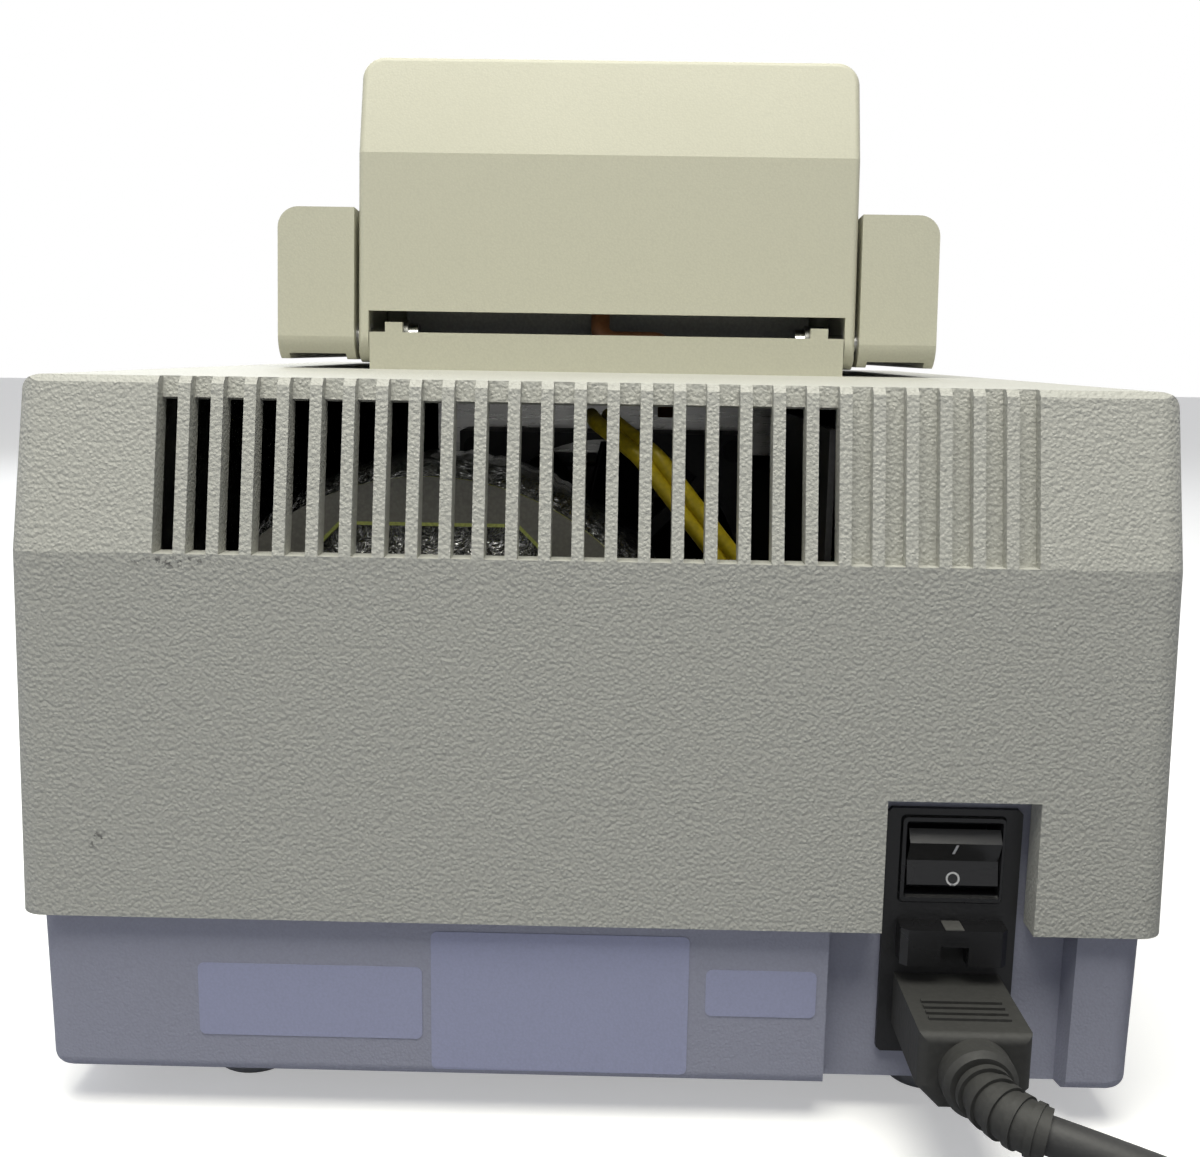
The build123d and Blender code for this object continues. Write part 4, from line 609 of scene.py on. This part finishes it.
bezel_mesh = bmesh.new()
bezel_rings = []
for share, height in bezel_profile:
    edges = [outer + (inner - outer) * share for outer, inner in zip(bezel_outer, bezel_inner)]
    corner = bezel_corner + (bezel_inner_corner - bezel_corner) * share
    bezel_rings.append([bezel_mesh.verts.new(p)
                        for p in rounded_outline(*edges, corner, inlet_face + height)])
for outer_ring, inner_ring in zip(bezel_rings, bezel_rings[1:]):
    for k in range(len(outer_ring)):
        after = (k + 1) % len(outer_ring)
        bezel_mesh.faces.new((outer_ring[k], inner_ring[k], inner_ring[after], outer_ring[after]))
bmesh.ops.recalc_face_normals(bezel_mesh, faces=bezel_mesh.faces)
bezel_mesh.faces.ensure_lookup_table()
if sum(f.normal.y for f in bezel_mesh.faces) < 0:
    bmesh.ops.reverse_faces(bezel_mesh, faces=bezel_mesh.faces)
switch_bezel = piece("switch_bezel", bezel_mesh, rocker_plastic, "root", smooth=False)


def block(name, low, high, soft_edge, material, body):
    """A small moulded block between two corners, with softened edges."""
    mesh = bmesh.new()
    bmesh.ops.create_cube(mesh, size=1.0)
    for vert in mesh.verts:
        vert.co = Vector([low[k] if vert.co[k] < 0 else high[k] for k in range(3)])
    bmesh.ops.bevel(mesh, geom=mesh.edges[:], offset=soft_edge, segments=2, affect="EDGES")
    return piece(name, mesh, material, body, smooth=False)


drawer_top = 0.0504
drawer_front = 0.2060
tab_low = (-0.0860, 0.2004, drawer_top - 0.0004)
tab_high = (-0.0817, drawer_front - 0.0004, drawer_top + 0.0002)
grip_span = (-0.0872, -0.0812)
grip_sunk, grip_proud = 0.0003, 0.0002
grip_first_z = 0.0487
grip_pitch = 0.0011
grip_line_height = 0.0004
softening = 0.0001
tab_plastic = moulded("drawer_tab_plastic", (0.11, 0.11, 0.105), 900.0, 0.00002, 0.45)
drawer_tab = block("drawer_tab", tab_low, tab_high, softening, tab_plastic, "drawer")
for index in range(3):
    line_z = grip_first_z - grip_pitch * index
    grip_line = block(f"drawer_grip_line_{index}", (grip_span[0], drawer_front - grip_sunk, line_z),
                      (grip_span[1], drawer_front + grip_proud, line_z + grip_line_height),
                      softening, rocker_plastic, "drawer")


# Switch marks. A white bar for on and a white ring for off, pad-printed on the rocker.
mark_x = -0.0840
bar_z = 0.0681
ring_z = 0.0606
bar_size = (0.0006, 0.0026)
bar_lean = 0.0003
ring_radii = (0.0016, 0.00115)
ring_step = 12
print_height = 0.00008
probe_y = 0.2
probe_reach = 0.1


def lay_on(node, points, height, direction=(0, -1, 0)):
    """Points moved along a direction onto a CAD node's surface, a height above it."""
    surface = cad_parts[node]
    laid = []
    for point in points:
        start = Vector(point) - Vector(direction) * probe_reach
        hit, spot, normal, _ = surface.ray_cast(start, Vector(direction))
        laid.append(spot + normal * height if hit else Vector(point))
    return laid


def printed(name, node, outer, inner, height, material, body):
    """A thin print on a CAD node, between an outer and an inner outline or filling the outer."""
    mesh = bmesh.new()
    top = [mesh.verts.new(p) for p in lay_on(node, outer, height)]
    if inner:
        low = [mesh.verts.new(p) for p in lay_on(node, inner, height)]
        count = len(top)
        for index in range(count):
            after = (index + 1) % count
            mesh.faces.new((top[index], top[after], low[after], low[index]))
    else:
        mesh.faces.new(top)
    bmesh.ops.recalc_face_normals(mesh, faces=mesh.faces)
    mesh.faces.ensure_lookup_table()
    if mesh.faces[0].normal.y < 0:
        bmesh.ops.reverse_faces(mesh, faces=mesh.faces)
    return piece(name, mesh, material, body, smooth=False)


mark_paint = moulded("mark_white", (0.78, 0.78, 0.78), 2500.0, 0.00001, 0.5, pits=0.9)
bar = [(mark_x - bar_lean + bar_size[0] / 2, probe_y, bar_z + bar_size[1] / 2),
       (mark_x - bar_lean - bar_size[0] / 2, probe_y, bar_z + bar_size[1] / 2),
       (mark_x + bar_lean - bar_size[0] / 2, probe_y, bar_z - bar_size[1] / 2),
       (mark_x + bar_lean + bar_size[0] / 2, probe_y, bar_z - bar_size[1] / 2)]
ring_turns = [math.radians(degrees) for degrees in range(0, 360, ring_step)]
ring_outlines = [[(mark_x + radius * math.cos(angle), probe_y, ring_z + radius * math.sin(angle))
                  for angle in ring_turns] for radius in ring_radii]
on_mark = printed("on_mark", "mains_rocker", bar, None, print_height, mark_paint, "rocker")
off_mark = printed("off_mark", "mains_rocker", *ring_outlines, print_height, mark_paint, "rocker")


# Rating plates. Three thin lavender-silver foils with rounded corners are stuck on the base's
# rear wall; they are left bare.
plate_boxes = {
    "plate_left": (0.0386, 0.0910, 0.0198, 0.0378),
    "plate_middle": (-0.0234, 0.0365, 0.0122, 0.0468),
    "plate_right": (-0.0530, -0.0274, 0.0273, 0.0388),
}
plate_corner = 0.0015
glue_line = 0.00002
foil_thickness = 0.00015
foil_silver = moulded("label_foil", (0.40, 0.42, 0.60), 1600.0, 0.00002, 0.38, pits=0.93, soiling=0.3)
for plate_name, plate_edges in plate_boxes.items():
    outline = rounded_outline(*plate_edges, plate_corner, probe_y)
    foil_mesh = bmesh.new()
    face = foil_mesh.faces.new([foil_mesh.verts.new(p) for p in lay_on("base_tray", outline, glue_line)])
    if face.normal.y < 0:
        bmesh.ops.reverse_faces(foil_mesh, faces=[face])
    face.normal_update()
    raised = bmesh.ops.extrude_face_region(foil_mesh, geom=[face])
    shift = [v for v in raised["geom"] if isinstance(v, bmesh.types.BMVert)]
    bmesh.ops.translate(foil_mesh, verts=shift, vec=(0, foil_thickness, 0))
    bmesh.ops.recalc_face_normals(foil_mesh, faces=foil_mesh.faces)
    foil = piece(plate_name, foil_mesh, foil_silver, "root", smooth=False)


# Mains connector and cord. A matt black moulded connector with a ribbed relief; the cord
# falls to the table, lies there and is put away in a neat two-layer coil.
connector_vinyl = moulded("connector_vinyl", (0.030, 0.030, 0.028), 700.0, 0.00006, 0.62, soiling=0.4)
cord_vinyl = moulded("cord_vinyl", (0.028, 0.028, 0.028), 900.0, 0.00003, 0.55)
refinish(connector_vinyl, "connector", "strain_relief", "mains_plug")

cord_radius = 0.004
lead_route = [(-0.0933, 0.2491, 0.0269), (-0.1150, 0.2589, 0.0239), (-0.140, 0.260, 0.014),
              (-0.166, 0.257, 0.005), (-0.190, 0.2535, 0.004), (-0.214, 0.2525, 0.004)]
tail_route = [(-0.272, 0.1945, 0.012), (-0.2724, 0.1725, 0.012), (-0.2724, 0.157, 0.012)]
coil_centre = (-0.216, 0.1965)
lower_turns = (0.056, 0.048, 0.040)
upper_turns = tuple(reversed(lower_turns))
layer_heights = (cord_radius, 3 * cord_radius)
points_a_turn = 16
quarter = points_a_turn // 4
moving_steps = 3


def turn_points(radius, next_radius, height, next_height, count):
    """Points along one turn, which moves to the next turn's place over its last steps."""
    points = []
    for step in range(1, count + 1):
        angle = math.pi / 2 + 2 * math.pi * step / points_a_turn
        moved = max(0.0, (step - (points_a_turn - moving_steps)) / moving_steps)
        r = radius + (next_radius - radius) * moved
        z = height + (next_height - height) * moved
        points.append((coil_centre[0] + r * math.cos(angle), coil_centre[1] + r * math.sin(angle), z))
    return points


coil_route = []
turns = [(r, layer_heights[0]) for r in lower_turns] + [(r, layer_heights[1]) for r in upper_turns]
for (radius, height), (next_radius, next_height) in zip(turns, turns[1:]):
    coil_route += turn_points(radius, next_radius, height, next_height, points_a_turn)
last_radius, last_height = turns[-1]
coil_route += turn_points(last_radius, last_radius, last_height, last_height, quarter - 1)
cord_route = lead_route + coil_route + tail_route
cord_curve = bpy.data.curves.new("mains_cord", "CURVE")
cord_curve.dimensions = "3D"
cord_curve.bevel_depth = cord_radius
cord_curve.bevel_resolution = 6
cord_curve.resolution_u = 8
cord_curve.use_fill_caps = True
spline = cord_curve.splines.new("NURBS")
spline.points.add(len(cord_route) - 1)
for control, point in zip(spline.points, cord_route):
    control.co = (*point, 1.0)
spline.order_u = 3
spline.use_endpoint_u = True
cord_curve.materials.append(cord_vinyl)
mains_cord = bpy.data.objects.new("mains_cord", cord_curve)
bpy.context.collection.objects.link(mains_cord)
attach(mains_cord, "root")
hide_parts("cord_lead", "cord_coil", "cord_tail")


# Controls on the sloped front. A printed polyester foil with embossed keys, a clear window,
# and the grey-green display under it.
foil_print = moulded("keypad_print", (0.60, 0.61, 0.60), 1800.0, 0.00002, 0.4, pits=0.95)
key_blue = moulded("key_print_blue", (0.10, 0.17, 0.33), 1800.0, 0.00002, 0.35)
key_grey = moulded("key_print_grey", (0.30, 0.31, 0.33), 1800.0, 0.00002, 0.35)
window_acrylic = moulded("window_acrylic", (0.85, 0.88, 0.86), 300.0, 0.000005, 0.06, pits=0.98,
                         Transmission_Weight=0.9, IOR=1.49)
display_glass = moulded("display_glass", (0.24, 0.30, 0.17), 1000.0, 0.00001, 0.2)
refinish(foil_print, "keypad_foil")
refinish(window_acrylic, "lcd_window")
refinish(display_glass, "lcd_module")

slope_middle = (0.0, -0.15926, 0.1424)
slope_tilt = math.radians(32.75)
slope = Matrix.Translation(slope_middle) @ Matrix.Rotation(slope_tilt, 4, "X")
keypad_centre = (0.050, 0.0)
key_pitch = (0.0175, 0.016)
key_grid = (6, 4)
key_size = (0.0118, 0.0098)
key_corner = 0.0015
key_print_thickness = 0.00012
panel_recess = 0.0008
key_rise = 0.00115


def key_tree(name, material):
    """Rounded key prints on a grid of so many columns and rows."""
    tree = bpy.data.node_groups.new(name, "GeometryNodeTree")
    for label, kind, value in (("Columns", "NodeSocketInt", 3), ("Rows", "NodeSocketInt", 4),
                               ("Pitch X", "NodeSocketFloat", key_pitch[0]),
                               ("Pitch Y", "NodeSocketFloat", key_pitch[1]),
                               ("Key Width", "NodeSocketFloat", key_size[0]),
                               ("Key Depth", "NodeSocketFloat", key_size[1]),
                               ("Thickness", "NodeSocketFloat", key_print_thickness)):
        socket = tree.interface.new_socket(label, in_out="INPUT", socket_type=kind)
        socket.default_value = value
    tree.interface.new_socket("Geometry", in_out="OUTPUT", socket_type="NodeSocketGeometry")
    given = tree.nodes.new("NodeGroupInput")
    result = tree.nodes.new("NodeGroupOutput")
    outline = add(tree, "GeometryNodeCurvePrimitiveQuadrilateral",
                  [(given.outputs["Key Width"], "Width"), (given.outputs["Key Depth"], "Height")])
    rounded = add(tree, "GeometryNodeFilletCurve", [(outline.outputs[0], "Curve")],
                  mode="POLY", Count=4, Radius=key_corner)
    filled = add(tree, "GeometryNodeFillCurve", [(rounded.outputs[0], "Curve")])
    raised = add(tree, "GeometryNodeExtrudeMesh",
                 [(filled.outputs[0], "Mesh"), (given.outputs["Thickness"], "Offset Scale")])
    spans = []
    for pitch, count in (("Pitch X", "Columns"), ("Pitch Y", "Rows")):
        gaps = add(tree, "ShaderNodeMath", [(given.outputs[count], 0)], operation="SUBTRACT")
        gaps.inputs[1].default_value = 1.0
        spans.append(add(tree, "ShaderNodeMath",
                         [(gaps.outputs[0], 0), (given.outputs[pitch], 1)], operation="MULTIPLY"))
    grid = add(tree, "GeometryNodeMeshGrid",
               [(spans[0].outputs[0], "Size X"), (spans[1].outputs[0], "Size Y"),
                (given.outputs["Columns"], "Vertices X"), (given.outputs["Rows"], "Vertices Y")])
    keys = add(tree, "GeometryNodeInstanceOnPoints",
               [(grid.outputs["Mesh"], "Points"), (raised.outputs["Mesh"], "Instance")])
    real = add(tree, "GeometryNodeRealizeInstances", [(keys.outputs[0], "Geometry")])
    painted = add(tree, "GeometryNodeSetMaterial", [(real.outputs[0], "Geometry")], Material=material)
    tree.links.new(painted.outputs[0], result.inputs["Geometry"])
    return tree


def made_by(tree, name, values, place_in, body):
    """The plain mesh that a geometry tree makes, set in its place on a body."""
    maker = bpy.data.objects.new(name + "_maker", bpy.data.meshes.new(name + "_maker"))
    bpy.context.collection.objects.link(maker)
    modifier = maker.modifiers.new("tree", "NODES")
    modifier.node_group = tree
    inputs = {item.name: item.identifier for item in tree.interface.items_tree if item.in_out == "INPUT"}
    for label, value in values.items():
        modifier[inputs[label]] = value
    bpy.context.view_layer.update()
    evaluated = maker.evaluated_get(bpy.context.evaluated_depsgraph_get())
    data = bpy.data.meshes.new_from_object(evaluated)
    maker.modifiers.remove(modifier)
    bpy.data.objects.remove(maker)
    data.transform(place_in)
    data.name = name
    made = bpy.data.objects.new(name, data)
    bpy.context.collection.objects.link(made)
    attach(made, body)
    return made


for field, field_print, first, columns in (("digit_keys", key_grey, 0, 3), ("menu_keys", key_blue, 3, 3)):
    middle = keypad_centre[0] + (first + (columns - 1) / 2 - (key_grid[0] - 1) / 2) * key_pitch[0]
    place_in = slope @ Matrix.Translation((middle, keypad_centre[1], key_rise - panel_recess))
    keys = made_by(key_tree(field + "_tree", field_print), field,
                   {"Columns": columns, "Rows": key_grid[1]}, place_in, "root")
